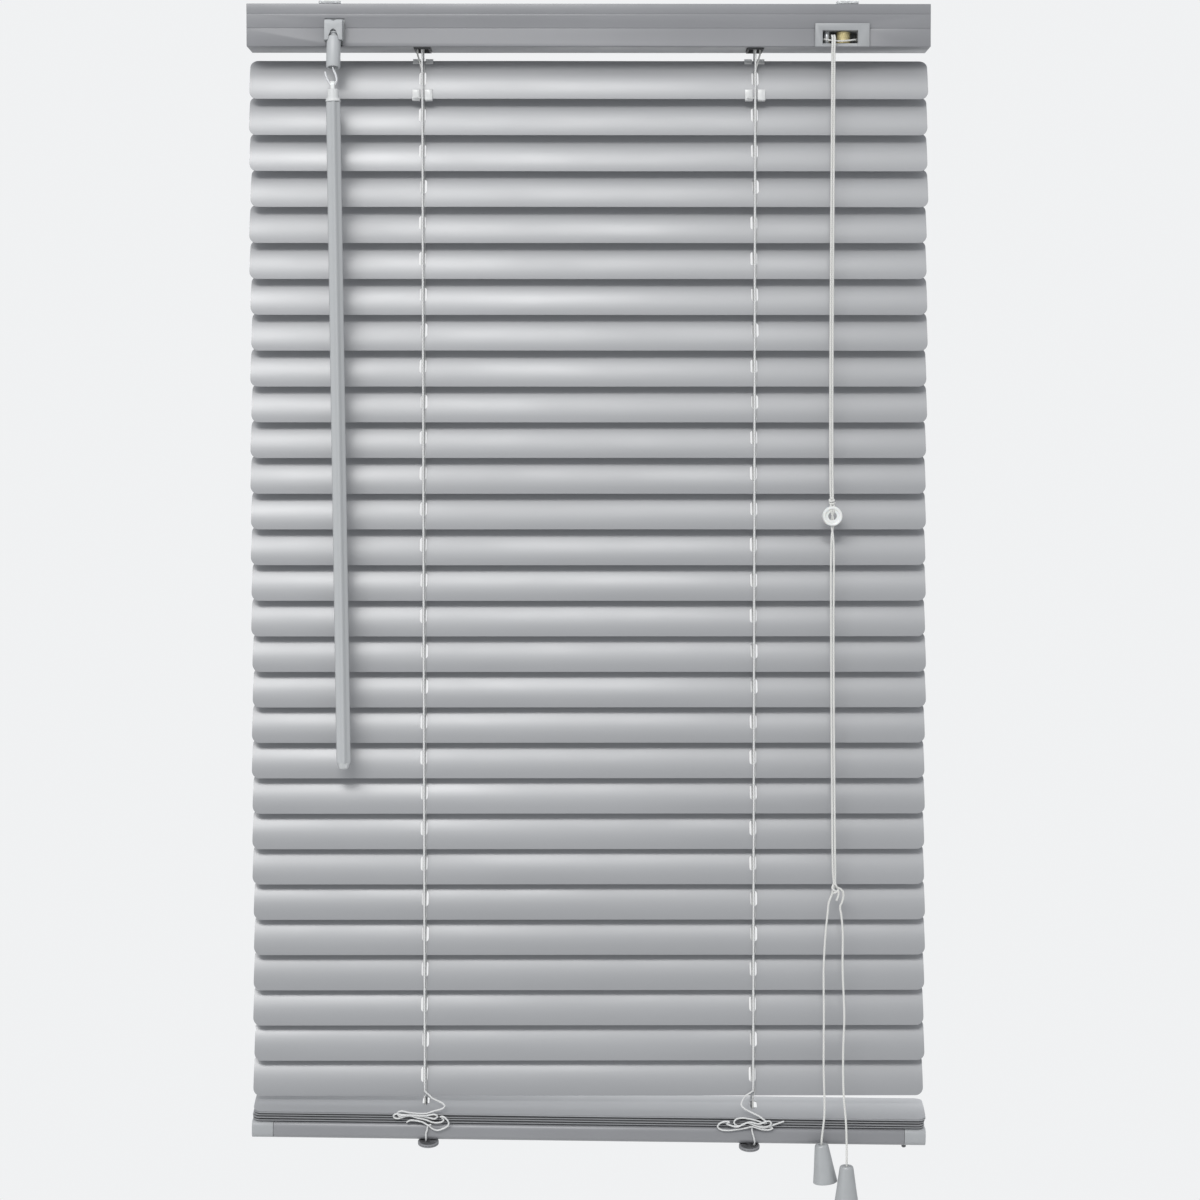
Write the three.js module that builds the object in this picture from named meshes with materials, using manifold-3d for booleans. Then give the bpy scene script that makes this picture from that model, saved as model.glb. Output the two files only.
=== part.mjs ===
// A 25 mm venetian blind, hanging lowered and closed from its headrail.
// Millimetres, +Z up, +X to the right as seen from the room, -Y towards the room.
// The origin is the centre of the headrail's back face.

import * as THREE from 'three';
import { mergeVertices } from 'three/addons/utils/BufferGeometryUtils.js';
import Module from 'manifold-3d';

const wasm = await Module();
wasm.setup();

// ---- driving dimensions ----

const GAP = 0.3; // between a piece and the neighbour it rests on

const HEADRAIL_LENGTH = 402.6;
const HEADRAIL_SIZE = 25; // height and depth
const HEADRAIL_WALL = 0.8;
const LIP_DEPTH = 3; // the folded top edges
const RIB_LEVELS = [6.5, -1.9]; // the two pressed lines along the front
const RIB_SIZE = 0.3;

const SLAT_COUNT = 29; // the hanging slats
const SLAT_LENGTH = 402;
const SLAT_WIDTH = 25;
const SLAT_THICKNESS = 0.35;
const SLAT_CROWN = THREE.MathUtils.degToRad(14); // half the arc of the curved section
const SLAT_FACETS = 4;
const SLAT_CORNER = 4.5;
const SLAT_PITCH = 21.25;
const FIRST_SLAT_Z = -30.5;
const CLOSED_TILT = THREE.MathUtils.degToRad(70); // front edge down
const ROUTE_HOLE_X = 98.5;
const ROUTE_HOLE_WIDTH = 4;
const ROUTE_HOLE_LENGTH = 9.5;

const LADDER_X = 98.5;
const LADDER_CORD_RADIUS = 0.6;
const LADDER_STANDOFF = 0.95; // from a slat's edge to the middle of the ladder string
const LIFT_CORD_RADIUS = 0.6;
const LIFT_CORD_STUB = 18;
const CARRIED_SLATS = [25, 26, 27, 28]; // each rides up on its own length of lift cord

const STACK_COUNT = 4; // slats that lie flat on the bottom rail
const STACK_PITCH = 1.5;
const TOP_STACK_TILT = THREE.MathUtils.degToRad(15); // the slat that leans on the stack
const TOP_STACK_RISE = 8.6; // its centre above the bottom rail's top

const BOTTOM_RAIL_TOP = -652.8;
const BOTTOM_RAIL_HEIGHT = 10.5;
const BOTTOM_RAIL_DEPTH = 25;
const BOTTOM_RAIL_LENGTH = 402.6; // over both caps
const BOTTOM_RAIL_WALL = 0.7;
const BOTTOM_RAIL_ROLL = THREE.MathUtils.degToRad(0.8); // hangs lower on the right
const RAIL_CAP_LENGTH = 12.6;
const RAIL_PLUG_LENGTH = 8;
const BUTTON_RADIUS = 6.2; // the discs that hold the ladders' lower ends, under the rail's front edge
const BUTTON_THICKNESS = 1.6;
const BUTTON_X = 96;
const BUTTON_Y = -10.4; // from the rail's middle
const BUTTON_DROP = 1.7; // the disc's middle below the rail
const BUTTON_LEAN = THREE.MathUtils.degToRad(10);
const BUTTON_STEM_RADIUS = 2;
const BUTTON_STEM_Y = -7.5;

const MID_Y = -HEADRAIL_SIZE / 2; // the slats' pivots and the tilt rod lie in this plane
const ROD_Z = -1;
const ROD_SIDE = 5;
const ROD_LEFT = -161;
const ROD_RIGHT = 118;

const DRUM_RADIUS = 8;
const DRUM_HALF_WIDTH = 4.2;
const JOURNAL_RADIUS = 3.9;
const JOURNAL_HALF_WIDTH = 7.2;

const TILTER_X = -149.8;
const WORM_LEAN = THREE.MathUtils.degToRad(12); // the stem leans out from the vertical
const WORM_POINT_Y = -27; // where the worm's axis passes the level WORM_POINT_Z
const WORM_POINT_Z = -8;
const STEM_RADIUS = 4.2;
const STEM_BELOW = 18.3; // along the axis, from that point to the open lower end
const STEM_BORE = 2.9;
const WORM_ABOVE = 9.4;
const GEAR_TEETH = 18;
const GEAR_RADIUS = 8.8;
const GEAR_WIDTH = 6;

const WAND_LEAN = THREE.MathUtils.degToRad(0.7); // its lower end hangs a little to the right
const WAND_TOP = new THREE.Vector3(-150.2, -30.8, -23.6); // in the mouth of the stem
const WAND_EYE_DROP = 12.4; // from there to the eye, along the wand
const WAND_ROD_RADIUS = 4.6; // across corners
const WAND_ROD_TURN = THREE.MathUtils.degToRad(10); // a corner of the rod faces a little to the right
const WAND_ROD_START = 22;
const WAND_END = 415;
const HOOK_WIRE_RADIUS = 0.6;

const LOCK_LEFT = 133.1;
const LOCK_RIGHT = 165.2;
const LOCK_TOP = 1.1;
const LOCK_BOTTOM = -12.7;
const WINDOW_LEFT = 137.6;
const WINDOW_RIGHT = 158.4;
const WINDOW_TOP = -3.1;
const WINDOW_BOTTOM = -10.6;
const ROLLER_X = 150.2;
const ROLLER_RADIUS = 4.1;

const PULL_X = 143.6;
const PULL_Y = -28.6;
const PULL_PAIR_RADIUS = 1.3; // two cords side by side
const PULL_CORD_RADIUS = 0.7;
const UPPER_KNOT_Z = -280.2;
const DISC_X = 143.9;
const DISC_Z = -288.9;
const DISC_RADIUS = 5.9;
const DISC_THICKNESS = 4.4;
const LOWER_KNOT_X = 146;
const LOWER_KNOT_Z = -510.5;
const TASSEL_LENGTH = 23;
const TASSEL_TOP_RADIUS = 4.1;
const TASSEL_BOTTOM_RADIUS = 7.4;
const TASSEL_KNOT_DROP = 4.2; // the knot that holds a tassel, below the tassel's top
const LEFT_TASSEL_TOP = -663;
const LEFT_TASSEL_Y = -30;
const LEFT_TASSEL_LEAN = THREE.MathUtils.degToRad(-6);
const RIGHT_TASSEL_TOP = -674;
const RIGHT_TASSEL_Y = -37;

const BRACKET_X = 152.4;
const BRACKET_WIDTH = 13;
const BRACKET_TOP = 14.3;

// ---- colours ----

const GREY_PAINT = { color: 0x96989c, roughness: 0.42, metalness: 0.35 };
const SLAT_PAINT = { color: 0xb4b6b9, roughness: 0.38, metalness: 0.4 };
const GREY_PLASTIC = { color: 0xa2a5a8, roughness: 0.5, metalness: 0 };
const CLEAR_PLASTIC = { color: 0xc9ccce, roughness: 0.2, metalness: 0 };
const WHITE_CORD = { color: 0xe8e8e6, roughness: 0.85, metalness: 0 };
const WHITE_PLASTIC = { color: 0xe2e4e2, roughness: 0.4, metalness: 0 };
const STEEL = { color: 0xb8bbbf, roughness: 0.3, metalness: 0.9 };
const BRASS = { color: 0xa6995c, roughness: 0.35, metalness: 0.9 };

// ---- shape helpers ----

const X_AXIS = new THREE.Vector3(1, 0, 0);
const Y_AXIS = new THREE.Vector3(0, 1, 0);
const Z_AXIS = new THREE.Vector3(0, 0, 1);

function box(x0, x1, y0, y1, z0, z1) {
  const geometry = new THREE.BoxGeometry(x1 - x0, y1 - y0, z1 - z0);
  return geometry.translate((x0 + x1) / 2, (y0 + y1) / 2, (z0 + z1) / 2);
}

// An outline extruded along an axis: (y, z) points along 'x', (x, z) along 'y', (x, y) along 'z'.
function prism(outline, axis, low, high) {
  const isShape = outline instanceof THREE.Shape;
  const shape = isShape ? outline : new THREE.Shape(outline.map(([u, v]) => new THREE.Vector2(u, v)));
  const options = { depth: high - low, bevelEnabled: false, curveSegments: 3 };
  const geometry = new THREE.ExtrudeGeometry(shape, options);
  if (axis === 'x') {
    geometry.translate(0, 0, low);
    return geometry.applyMatrix4(new THREE.Matrix4().makeBasis(Y_AXIS, Z_AXIS, X_AXIS));
  }
  if (axis === 'y') {
    geometry.translate(0, 0, -high);
    return geometry.applyMatrix4(new THREE.Matrix4().makeBasis(X_AXIS, Z_AXIS, Y_AXIS.clone().negate()));
  }
  return geometry.translate(0, 0, low);
}

function roundedRectangle(halfWidth, halfHeight, radius) {
  const shape = new THREE.Shape();
  shape.moveTo(-halfWidth + radius, -halfHeight);
  shape.lineTo(halfWidth - radius, -halfHeight);
  shape.absarc(halfWidth - radius, -halfHeight + radius, radius, -Math.PI / 2, 0);
  shape.lineTo(halfWidth, halfHeight - radius);
  shape.absarc(halfWidth - radius, halfHeight - radius, radius, 0, Math.PI / 2);
  shape.lineTo(-halfWidth + radius, halfHeight);
  shape.absarc(-halfWidth + radius, halfHeight - radius, radius, Math.PI / 2, Math.PI);
  shape.lineTo(-halfWidth, -halfHeight + radius);
  shape.absarc(-halfWidth + radius, -halfHeight + radius, radius, Math.PI, 1.5 * Math.PI);
  return shape;
}

function cylinder(radius, axis, low, high, sides = 20) {
  const geometry = new THREE.CylinderGeometry(radius, radius, high - low, sides);
  geometry.translate(0, (low + high) / 2, 0);
  if (axis === 'x') return geometry.rotateZ(-Math.PI / 2);
  if (axis === 'z') return geometry.rotateX(Math.PI / 2);
  return geometry;
}

// A cord or wire: a round section carried along a smooth curve through hand-placed points.
function tube(points, radius, steps, sides = 8) {
  const section = new THREE.Shape();
  for (let i = 0; i < sides; i += 1) {
    const angle = (2 * Math.PI * i) / sides;
    const point = [radius * Math.cos(angle), radius * Math.sin(angle)];
    if (i === 0) section.moveTo(...point);
    else section.lineTo(...point);
  }
  const route = new THREE.CatmullRomCurve3(points.map((p) => new THREE.Vector3(...p)), false, 'centripetal');
  return new THREE.ExtrudeGeometry(section, { extrudePath: route, steps, bevelEnabled: false });
}

function toSolid(geometry) {
  const bare = new THREE.BufferGeometry();
  bare.setAttribute('position', geometry.getAttribute('position').clone());
  if (geometry.index) bare.setIndex(geometry.index.clone());
  const merged = mergeVertices(bare, 1e-4);
  const corners = merged.index.array;
  const kept = [];
  for (let i = 0; i < corners.length; i += 3) {
    const [a, b, c] = [corners[i], corners[i + 1], corners[i + 2]];
    if (a !== b && b !== c && c !== a) kept.push(a, b, c);
  }
  return new wasm.Manifold(new wasm.Mesh({
    numProp: 3,
    vertProperties: new Float32Array(merged.getAttribute('position').array),
    triVerts: new Uint32Array(kept),
  }));
}

function toGeometry(solid) {
  const mesh = solid.getMesh();
  const geometry = new THREE.BufferGeometry();
  geometry.setAttribute('position', new THREE.BufferAttribute(new Float32Array(mesh.vertProperties), 3));
  geometry.setIndex(new THREE.BufferAttribute(new Uint32Array(mesh.triVerts), 1));
  return geometry;
}

function join(...geometries) {
  return toGeometry(geometries.map(toSolid).reduce((all, solid) => all.add(solid)));
}

function cut(geometry, ...tools) {
  return toGeometry(tools.reduce((left, tool) => left.subtract(toSolid(tool)), toSolid(geometry)));
}

function intersect(first, second) {
  return toGeometry(toSolid(first).intersect(toSolid(second)));
}

const blind = new THREE.Group();

function add(name, geometry, look, parent = blind) {
  const mesh = new THREE.Mesh(geometry, new THREE.MeshStandardMaterial(look));
  mesh.name = name;
  parent.add(mesh);
  return mesh;
}

// ---- slats ----

function slatZ(number) {
  return FIRST_SLAT_Z - SLAT_PITCH * (number - 1);
}

// The section's height at a distance across the slat, from the line between its edges.
function crownHeight(across, extraRadius = 0) {
  const radius = SLAT_WIDTH / 2 / Math.sin(SLAT_CROWN);
  return Math.sqrt((radius + extraRadius) ** 2 - across ** 2) - radius * Math.cos(SLAT_CROWN);
}

function crownedSection() {
  const radius = SLAT_WIDTH / 2 / Math.sin(SLAT_CROWN);
  const sink = radius * Math.cos(SLAT_CROWN);
  const under = [];
  const over = [];
  for (let i = 0; i <= SLAT_FACETS; i += 1) {
    const angle = SLAT_CROWN * ((2 * i) / SLAT_FACETS - 1);
    under.push([radius * Math.sin(angle), radius * Math.cos(angle) - sink]);
    const outer = radius + SLAT_THICKNESS;
    over.push([outer * Math.sin(angle), outer * Math.cos(angle) - sink]);
  }
  return [...under, ...over.reverse()];
}

function slatOutline() {
  const outline = roundedRectangle(SLAT_LENGTH / 2, SLAT_WIDTH / 2 - 0.02, SLAT_CORNER);
  for (const x of [-ROUTE_HOLE_X, ROUTE_HOLE_X]) {
    const end = ROUTE_HOLE_WIDTH / 2;
    const straight = ROUTE_HOLE_LENGTH / 2 - end;
    const hole = new THREE.Path();
    hole.moveTo(x + end, -straight);
    hole.lineTo(x + end, straight);
    hole.absarc(x, straight, end, 0, Math.PI);
    hole.lineTo(x - end, -straight);
    hole.absarc(x, -straight, end, Math.PI, 2 * Math.PI);
    outline.holes.push(hole);
  }
  return outline;
}

const half = SLAT_LENGTH / 2 + 1;
const slatGeometry = intersect(prism(crownedSection(), 'x', -half, half), prism(slatOutline(), 'z', -1, 3));

for (let number = 1; number <= SLAT_COUNT; number += 1) {
  const slat = add(`slat_${String(number).padStart(2, '0')}`, slatGeometry.clone(), SLAT_PAINT);
  slat.position.set(0, MID_Y, slatZ(number));
  slat.rotation.x = CLOSED_TILT;
}

// ---- ladder strings and lift cords ----

const edgeY = (SLAT_WIDTH / 2) * Math.cos(CLOSED_TILT);
const edgeZ = (SLAT_WIDTH / 2) * Math.sin(CLOSED_TILT);

for (const [side, x] of [['left', -LADDER_X], ['right', LADDER_X]]) {
  for (const [face, direction] of [['front', -1], ['back', 1]]) {
    const y = MID_Y + direction * (edgeY + LADDER_STANDOFF);
    const top = slatZ(1) + direction * edgeZ;
    const bottom = slatZ(SLAT_COUNT) + direction * edgeZ;
    const string = tube([[x, y, bottom], [x, y, top]], LADDER_CORD_RADIUS, 1);
    add(`ladder_${face}_${side}`, string, WHITE_CORD);
  }
}

// A closed slat's crown lies in front of its pivot, and the lift cord passes through the crown's middle.
const liftCordY = MID_Y - (crownHeight(0) + SLAT_THICKNESS / 2) * Math.sin(CLOSED_TILT);

for (const number of CARRIED_SLATS) {
  const bottom = slatZ(number) - LIFT_CORD_STUB / 2;
  const ends = [[-ROUTE_HOLE_X, liftCordY, bottom], [-ROUTE_HOLE_X, liftCordY, bottom + LIFT_CORD_STUB]];
  add(`lift_cord_${number}`, tube(ends, LIFT_CORD_RADIUS, 1), WHITE_CORD);
}

// ---- bottom rail, with the stack of slats that lies on it ----

const railGroup = new THREE.Group();
railGroup.position.set(0, MID_Y, BOTTOM_RAIL_TOP - BOTTOM_RAIL_HEIGHT / 2);
railGroup.rotation.y = BOTTOM_RAIL_ROLL;
blind.add(railGroup);

function railOutline(inset, length) {
  const halfDepth = BOTTOM_RAIL_DEPTH / 2 - inset;
  const halfHeight = BOTTOM_RAIL_HEIGHT / 2 - inset;
  return prism(roundedRectangle(halfDepth, halfHeight, 3.6 - inset), 'x', -length / 2, length / 2);
}

function bottomRail() {
  const length = BOTTOM_RAIL_LENGTH - 2 * RAIL_CAP_LENGTH - 2 * GAP;
  const shell = cut(railOutline(0, length), railOutline(BOTTOM_RAIL_WALL, length + 2));
  const under = -BOTTOM_RAIL_HEIGHT / 2;
  const buttons = [-BUTTON_X, BUTTON_X].flatMap((x) => {
    const disc = cylinder(BUTTON_RADIUS, 'z', -BUTTON_THICKNESS / 2, BUTTON_THICKNESS / 2, 20);
    disc.rotateX(BUTTON_LEAN).translate(x, BUTTON_Y, under - BUTTON_DROP);
    const stem = cylinder(BUTTON_STEM_RADIUS, 'z', under - BUTTON_DROP, under + 2, 12);
    return [disc, stem.translate(x, BUTTON_STEM_Y, 0)];
  });
  return join(shell, ...buttons);
}

function railCap(side) {
  const outer = BOTTOM_RAIL_LENGTH / 2;
  const cap = railOutline(0, RAIL_CAP_LENGTH).translate(side * (outer - RAIL_CAP_LENGTH / 2), 0, 0);
  const plugEnd = outer - RAIL_CAP_LENGTH - RAIL_PLUG_LENGTH;
  const plugLength = RAIL_PLUG_LENGTH + 2;
  const plug = railOutline(BOTTOM_RAIL_WALL + GAP, plugLength);
  plug.translate(side * (plugEnd + plugLength / 2), 0, 0);
  return join(cap, plug);
}

add('bottom_rail', bottomRail(), GREY_PAINT, railGroup);
add('bottom_rail_cap_left', railCap(-1), GREY_PLASTIC, railGroup);
add('bottom_rail_cap_right', railCap(1), GREY_PLASTIC, railGroup);

// The stacked slats are held together by the slack ladder rungs pinched between them.
function stackedSlats() {
  const railTop = BOTTOM_RAIL_HEIGHT / 2;
  const pieces = [];
  for (let i = 0; i < STACK_COUNT; i += 1) {
    pieces.push(slatGeometry.clone().translate(0, 0, railTop + GAP + i * STACK_PITCH));
  }
  const lean = railTop + TOP_STACK_RISE;
  pieces.push(slatGeometry.clone().rotateX(TOP_STACK_TILT).translate(0, 0, lean));
  const rungTop = [-6, 0, 6].map((across) => {
    const height = crownHeight(across) + SLAT_THICKNESS / 2;
    const y = across * Math.cos(TOP_STACK_TILT) - height * Math.sin(TOP_STACK_TILT);
    return [y, across * Math.sin(TOP_STACK_TILT) + height * Math.cos(TOP_STACK_TILT) + lean];
  });
  const rungLow = railTop + GAP + crownHeight(6) + SLAT_THICKNESS / 2;
  const rungs = [[rungTop[0][0], rungLow], [rungTop[2][0], rungLow], ...rungTop.reverse()];
  for (const x of [-LADDER_X, LADDER_X]) {
    pieces.push(prism(rungs, 'x', x - 0.5, x + 0.5));
  }
  return join(...pieces);
}

add('stacked_slats', stackedSlats(), SLAT_PAINT, railGroup);

// ---- headrail ----

function headrailSection() {
  const front = -HEADRAIL_SIZE;
  const top = HEADRAIL_SIZE / 2;
  const wall = HEADRAIL_WALL;
  const frontEdge = [[front, -top]];
  for (const level of [...RIB_LEVELS].reverse()) {
    frontEdge.push([front, level - RIB_SIZE], [front + RIB_SIZE, level], [front, level + RIB_SIZE]);
  }
  const lipFront = front + LIP_DEPTH;
  const topLips = [[front, top], [lipFront, top], [lipFront, top - wall], [front + wall, top - wall]];
  const inside = [[front + wall, -top + wall], [-wall, -top + wall], [-wall, top - wall]];
  const backLip = [[-LIP_DEPTH, top - wall], [-LIP_DEPTH, top], [0, top], [0, -top]];
  return [...frontEdge, ...topLips, ...inside, ...backLip];
}

function headrail() {
  const channel = prism(headrailSection(), 'x', -HEADRAIL_LENGTH / 2, HEADRAIL_LENGTH / 2);
  const outside = -HEADRAIL_SIZE - 1;
  const inside = -HEADRAIL_SIZE + HEADRAIL_WALL + 1;
  const noseCut = box(TILTER_X - 5.6, TILTER_X + 6.2, outside, inside, -9.9, 3.8);
  const stemCut = box(TILTER_X - 4.7, TILTER_X + 4.7, outside, inside, -14, -9);
  const lockCut = box(LOCK_LEFT + 2, LOCK_RIGHT - 2, outside, inside, -11.7, 0.9);
  const floor = -HEADRAIL_SIZE / 2;
  const ladderCuts = [-LADDER_X, LADDER_X].map((x) => box(x - 5, x + 5, -21, -4, floor - 1, floor + 2));
  return cut(channel, noseCut, stemCut, lockCut, ...ladderCuts);
}

add('headrail', headrail(), GREY_PAINT);

// ---- tilt rod, ladder drums and their cradles ----

const rodHalf = ROD_SIDE / 2;
const rodFront = MID_Y - rodHalf;
const rodBack = MID_Y + rodHalf;
add('tilt_rod', box(ROD_LEFT, ROD_RIGHT, rodFront, rodBack, ROD_Z - rodHalf, ROD_Z + rodHalf), STEEL);

function rodHole(halfWidth) {
  const side = rodHalf + GAP;
  return box(-halfWidth, halfWidth, -side, side, -side, side);
}

function ladderDrum() {
  const drum = cylinder(DRUM_RADIUS, 'x', -DRUM_HALF_WIDTH, DRUM_HALF_WIDTH, 24);
  const journal = cylinder(JOURNAL_RADIUS, 'x', -JOURNAL_HALF_WIDTH, JOURNAL_HALF_WIDTH, 16);
  return cut(join(drum, journal), rodHole(JOURNAL_HALF_WIDTH + 1));
}

// Two posts on a base plate carry the drum, and a collar passes down through the headrail's floor.
function ladderCradle() {
  const floor = -HEADRAIL_SIZE / 2 + HEADRAIL_WALL;
  const base = box(-8, 8, -22.5, -2.5, floor + GAP, floor + GAP + 1.2);
  const collar = box(-4.7, 4.7, -20.7, -4.3, -HEADRAIL_SIZE / 2 - 1, floor + GAP + 0.6);
  const posts = [-1, 1].map((side) => {
    const inner = DRUM_HALF_WIDTH + GAP;
    const [low, high] = side < 0 ? [-inner - 2, -inner] : [inner, inner + 2];
    return box(low, high, MID_Y - 6.5, MID_Y + 6.5, floor + GAP + 0.6, ROD_Z + 1);
  });
  const notch = cylinder(JOURNAL_RADIUS + GAP, 'x', -9, 9, 16).translate(0, MID_Y, ROD_Z);
  const mouth = box(-9, 9, MID_Y - JOURNAL_RADIUS - GAP, MID_Y + JOURNAL_RADIUS + GAP, ROD_Z, ROD_Z + 3);
  const throat = box(-3.7, 3.7, -19.7, -5.3, -HEADRAIL_SIZE / 2 - 2, floor + 3);
  return cut(join(base, collar, ...posts), notch, mouth, throat);
}

for (const [side, x] of [['left', -LADDER_X], ['right', LADDER_X]]) {
  add(`ladder_drum_${side}`, ladderDrum(), WHITE_PLASTIC).position.set(x, MID_Y, ROD_Z);
  add(`ladder_cradle_${side}`, ladderCradle(), GREY_PLASTIC).position.x = x;
}

// ---- tilter: housing, worm with its stem, worm gear ----

function wormTurned(geometry) {
  return geometry.rotateX(Math.PI / 2 - WORM_LEAN).translate(TILTER_X, WORM_POINT_Y, WORM_POINT_Z);
}

function tilterHousing() {
  const body = box(TILTER_X - 10, TILTER_X + 10, -23.9, -2.5, -11.4, 9.9);
  const noseOutline = [[-22, -9.4], [-22, 2.5], [-29, 2.5], [-30.5, 0.5], [-30.5, -9.4]];
  const nose = prism(noseOutline, 'x', TILTER_X - 5.2, TILTER_X + 5.2);
  const bore = wormTurned(cylinder(STEM_RADIUS + GAP, 'y', -12, WORM_ABOVE + GAP, 20));
  const gearRoom = cylinder(GEAR_RADIUS + 0.7, 'x', -3.6, 3.6, 24).translate(TILTER_X, MID_Y, ROD_Z);
  const gearTop = box(TILTER_X - 3.6, TILTER_X + 3.6, -21.8, -3.2, ROD_Z, 12);
  const rodBore = cylinder(4, 'x', -12, 12, 16).translate(TILTER_X, MID_Y, ROD_Z);
  return cut(join(body, nose), bore, gearRoom, gearTop, rodBore);
}

function wormProfile() {
  const profile = [[0, -STEM_BELOW + 9], [STEM_BORE, -STEM_BELOW + 9], [STEM_BORE, -STEM_BELOW]];
  profile.push([STEM_RADIUS - 0.3, -STEM_BELOW], [STEM_RADIUS, -STEM_BELOW + 0.8], [STEM_RADIUS, 0]);
  for (let y = 1.5; y < WORM_ABOVE - 1; y += 2) {
    profile.push([2.6, y], [2.6, y + 0.5], [3.5, y + 1], [3.5, y + 1.5]);
  }
  profile.push([2.6, WORM_ABOVE], [0, WORM_ABOVE]);
  return profile.map(([r, y]) => new THREE.Vector2(r, y));
}

function gearOutline() {
  const shape = new THREE.Shape();
  const root = GEAR_RADIUS - 1.6;
  for (let tooth = 0; tooth < GEAR_TEETH; tooth += 1) {
    const start = (2 * Math.PI * tooth) / GEAR_TEETH;
    const step = (2 * Math.PI) / GEAR_TEETH;
    const corners = [[root, 0], [root, 0.3], [GEAR_RADIUS, 0.5], [GEAR_RADIUS, 0.8]];
    for (const [radius, share] of corners) {
      const angle = start + share * step;
      const point = [radius * Math.cos(angle), radius * Math.sin(angle)];
      if (tooth === 0 && share === 0) shape.moveTo(...point);
      else shape.lineTo(...point);
    }
  }
  return shape;
}

add('tilter_housing', tilterHousing(), GREY_PLASTIC);
add('tilter_worm', wormTurned(new THREE.LatheGeometry(wormProfile(), 16)), GREY_PLASTIC);
const gear = cut(prism(gearOutline(), 'x', -GEAR_WIDTH / 2, GEAR_WIDTH / 2), rodHole(GEAR_WIDTH));
add('tilter_gear', gear, WHITE_PLASTIC).position.set(TILTER_X, MID_Y, ROD_Z);

// ---- wand: wire hook, then the rod with its eye, sleeve and end cap ----

// In this group Z runs up the wand, and zero is in the mouth of the stem.
const wandGroup = new THREE.Group();
wandGroup.position.copy(WAND_TOP);
wandGroup.rotation.y = -WAND_LEAN;
blind.add(wandGroup);

const hookRoute = [
  [0, 0, 1.6], [0.1, 0, -1], [0.7, 0, -3.8], [1.9, 0, -6.8], [2.3, 0, -9.4], [1.6, 0, -11.4],
  [0, 0, -12.1], [-1.6, 0, -11.5], [-2.8, 0, -9.6], [-3.8, 0, -7.2], [-4.3, 0, -4.6],
];
add('wand_hook', tube(hookRoute, HOOK_WIRE_RADIUS, 30), STEEL, wandGroup);

function wandRod() {
  const rod = cylinder(WAND_ROD_RADIUS, 'z', -WAND_END + 3.5, -WAND_ROD_START, 6).rotateZ(WAND_ROD_TURN);
  const cap = cylinder(3.4, 'z', -WAND_END, -WAND_END + 4, 12);
  const sleeve = cylinder(3.3, 'z', -WAND_ROD_START - 1, -WAND_EYE_DROP - 3, 12);
  const flare = new THREE.CylinderGeometry(3.3, 4.4, 2.8, 12).rotateX(Math.PI / 2);
  flare.translate(0, 0, -WAND_ROD_START + 1.2);
  const eye = box(-1.1, 1.1, -2.4, 2.4, -WAND_EYE_DROP - 4, -WAND_EYE_DROP + 2.8);
  const hole = cylinder(1.7, 'x', -3, 3, 12).translate(0, 0, -WAND_EYE_DROP);
  return cut(join(rod, cap, sleeve, flare, eye), hole);
}

add('wand_rod', wandRod(), CLEAR_PLASTIC, wandGroup);

// ---- cord lock ----

function cordLockHousing() {
  const bezel = box(LOCK_LEFT, LOCK_RIGHT, -26.3, -25.3, LOCK_BOTTOM, LOCK_TOP);
  const body = box(LOCK_LEFT + 2.3, LOCK_RIGHT - 2.3, -25.4, -8, -11.4, 0.6);
  const windowRoom = box(WINDOW_LEFT, WINDOW_RIGHT, -27, -11.5, WINDOW_BOTTOM, WINDOW_TOP);
  const sill = box(WINDOW_LEFT, WINDOW_RIGHT, -27, -25.6, LOCK_BOTTOM + 0.8, WINDOW_BOTTOM + 1);
  const cordSlot = box(LOCK_LEFT - 5, LOCK_RIGHT + 5, -18, -14.5, -9.6, -7);
  return cut(join(bezel, body), windowRoom, sill, cordSlot);
}

add('cord_lock_housing', cordLockHousing(), GREY_PLASTIC);
const roller = cylinder(ROLLER_RADIUS, 'z', WINDOW_BOTTOM + 0.4, WINDOW_TOP - 0.3, 20);
add('cord_lock_roller', roller, BRASS).position.set(ROLLER_X, -20, 0);

// ---- pull cord: two cords to the lower knot, then one to each tassel ----

const lockRoute = [
  [143.9, -17.2, -5.6], [143.9, -20, -5.6], [143.9, -23, -5.7], [143.9, -25.6, -6.3], [143.9, -27.7, -8],
  [143.8, -28.5, -10.8], [PULL_X, PULL_Y, -15], [PULL_X, PULL_Y, -24],
];
const pairRoute = [
  [PULL_X, PULL_Y, -23], [143.5, PULL_Y, -60], [143.2, PULL_Y, -150], [143.1, PULL_Y, -240],
  [143.5, PULL_Y, -274], [143.8, PULL_Y, -281.5], [DISC_X, PULL_Y, -285], [DISC_X, PULL_Y, -293],
  [DISC_X, PULL_Y, -303], [144.1, PULL_Y, -360], [144.8, PULL_Y, -440], [145.8, PULL_Y, -500],
  [LOWER_KNOT_X, PULL_Y, LOWER_KNOT_Z],
];
const leftRoute = [
  [LOWER_KNOT_X, PULL_Y, LOWER_KNOT_Z], [143.1, PULL_Y, -516], [141.9, PULL_Y, -524.3], [140.6, PULL_Y, -538],
  [139.6, PULL_Y, -558], [139.8, -28.8, -585], [139.7, -29.2, -616], [140.2, -29.7, -645],
  [139.2, LEFT_TASSEL_Y, -655], [138.5, LEFT_TASSEL_Y, -662],
  [138.8, LEFT_TASSEL_Y, LEFT_TASSEL_TOP - TASSEL_KNOT_DROP],
];
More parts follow.
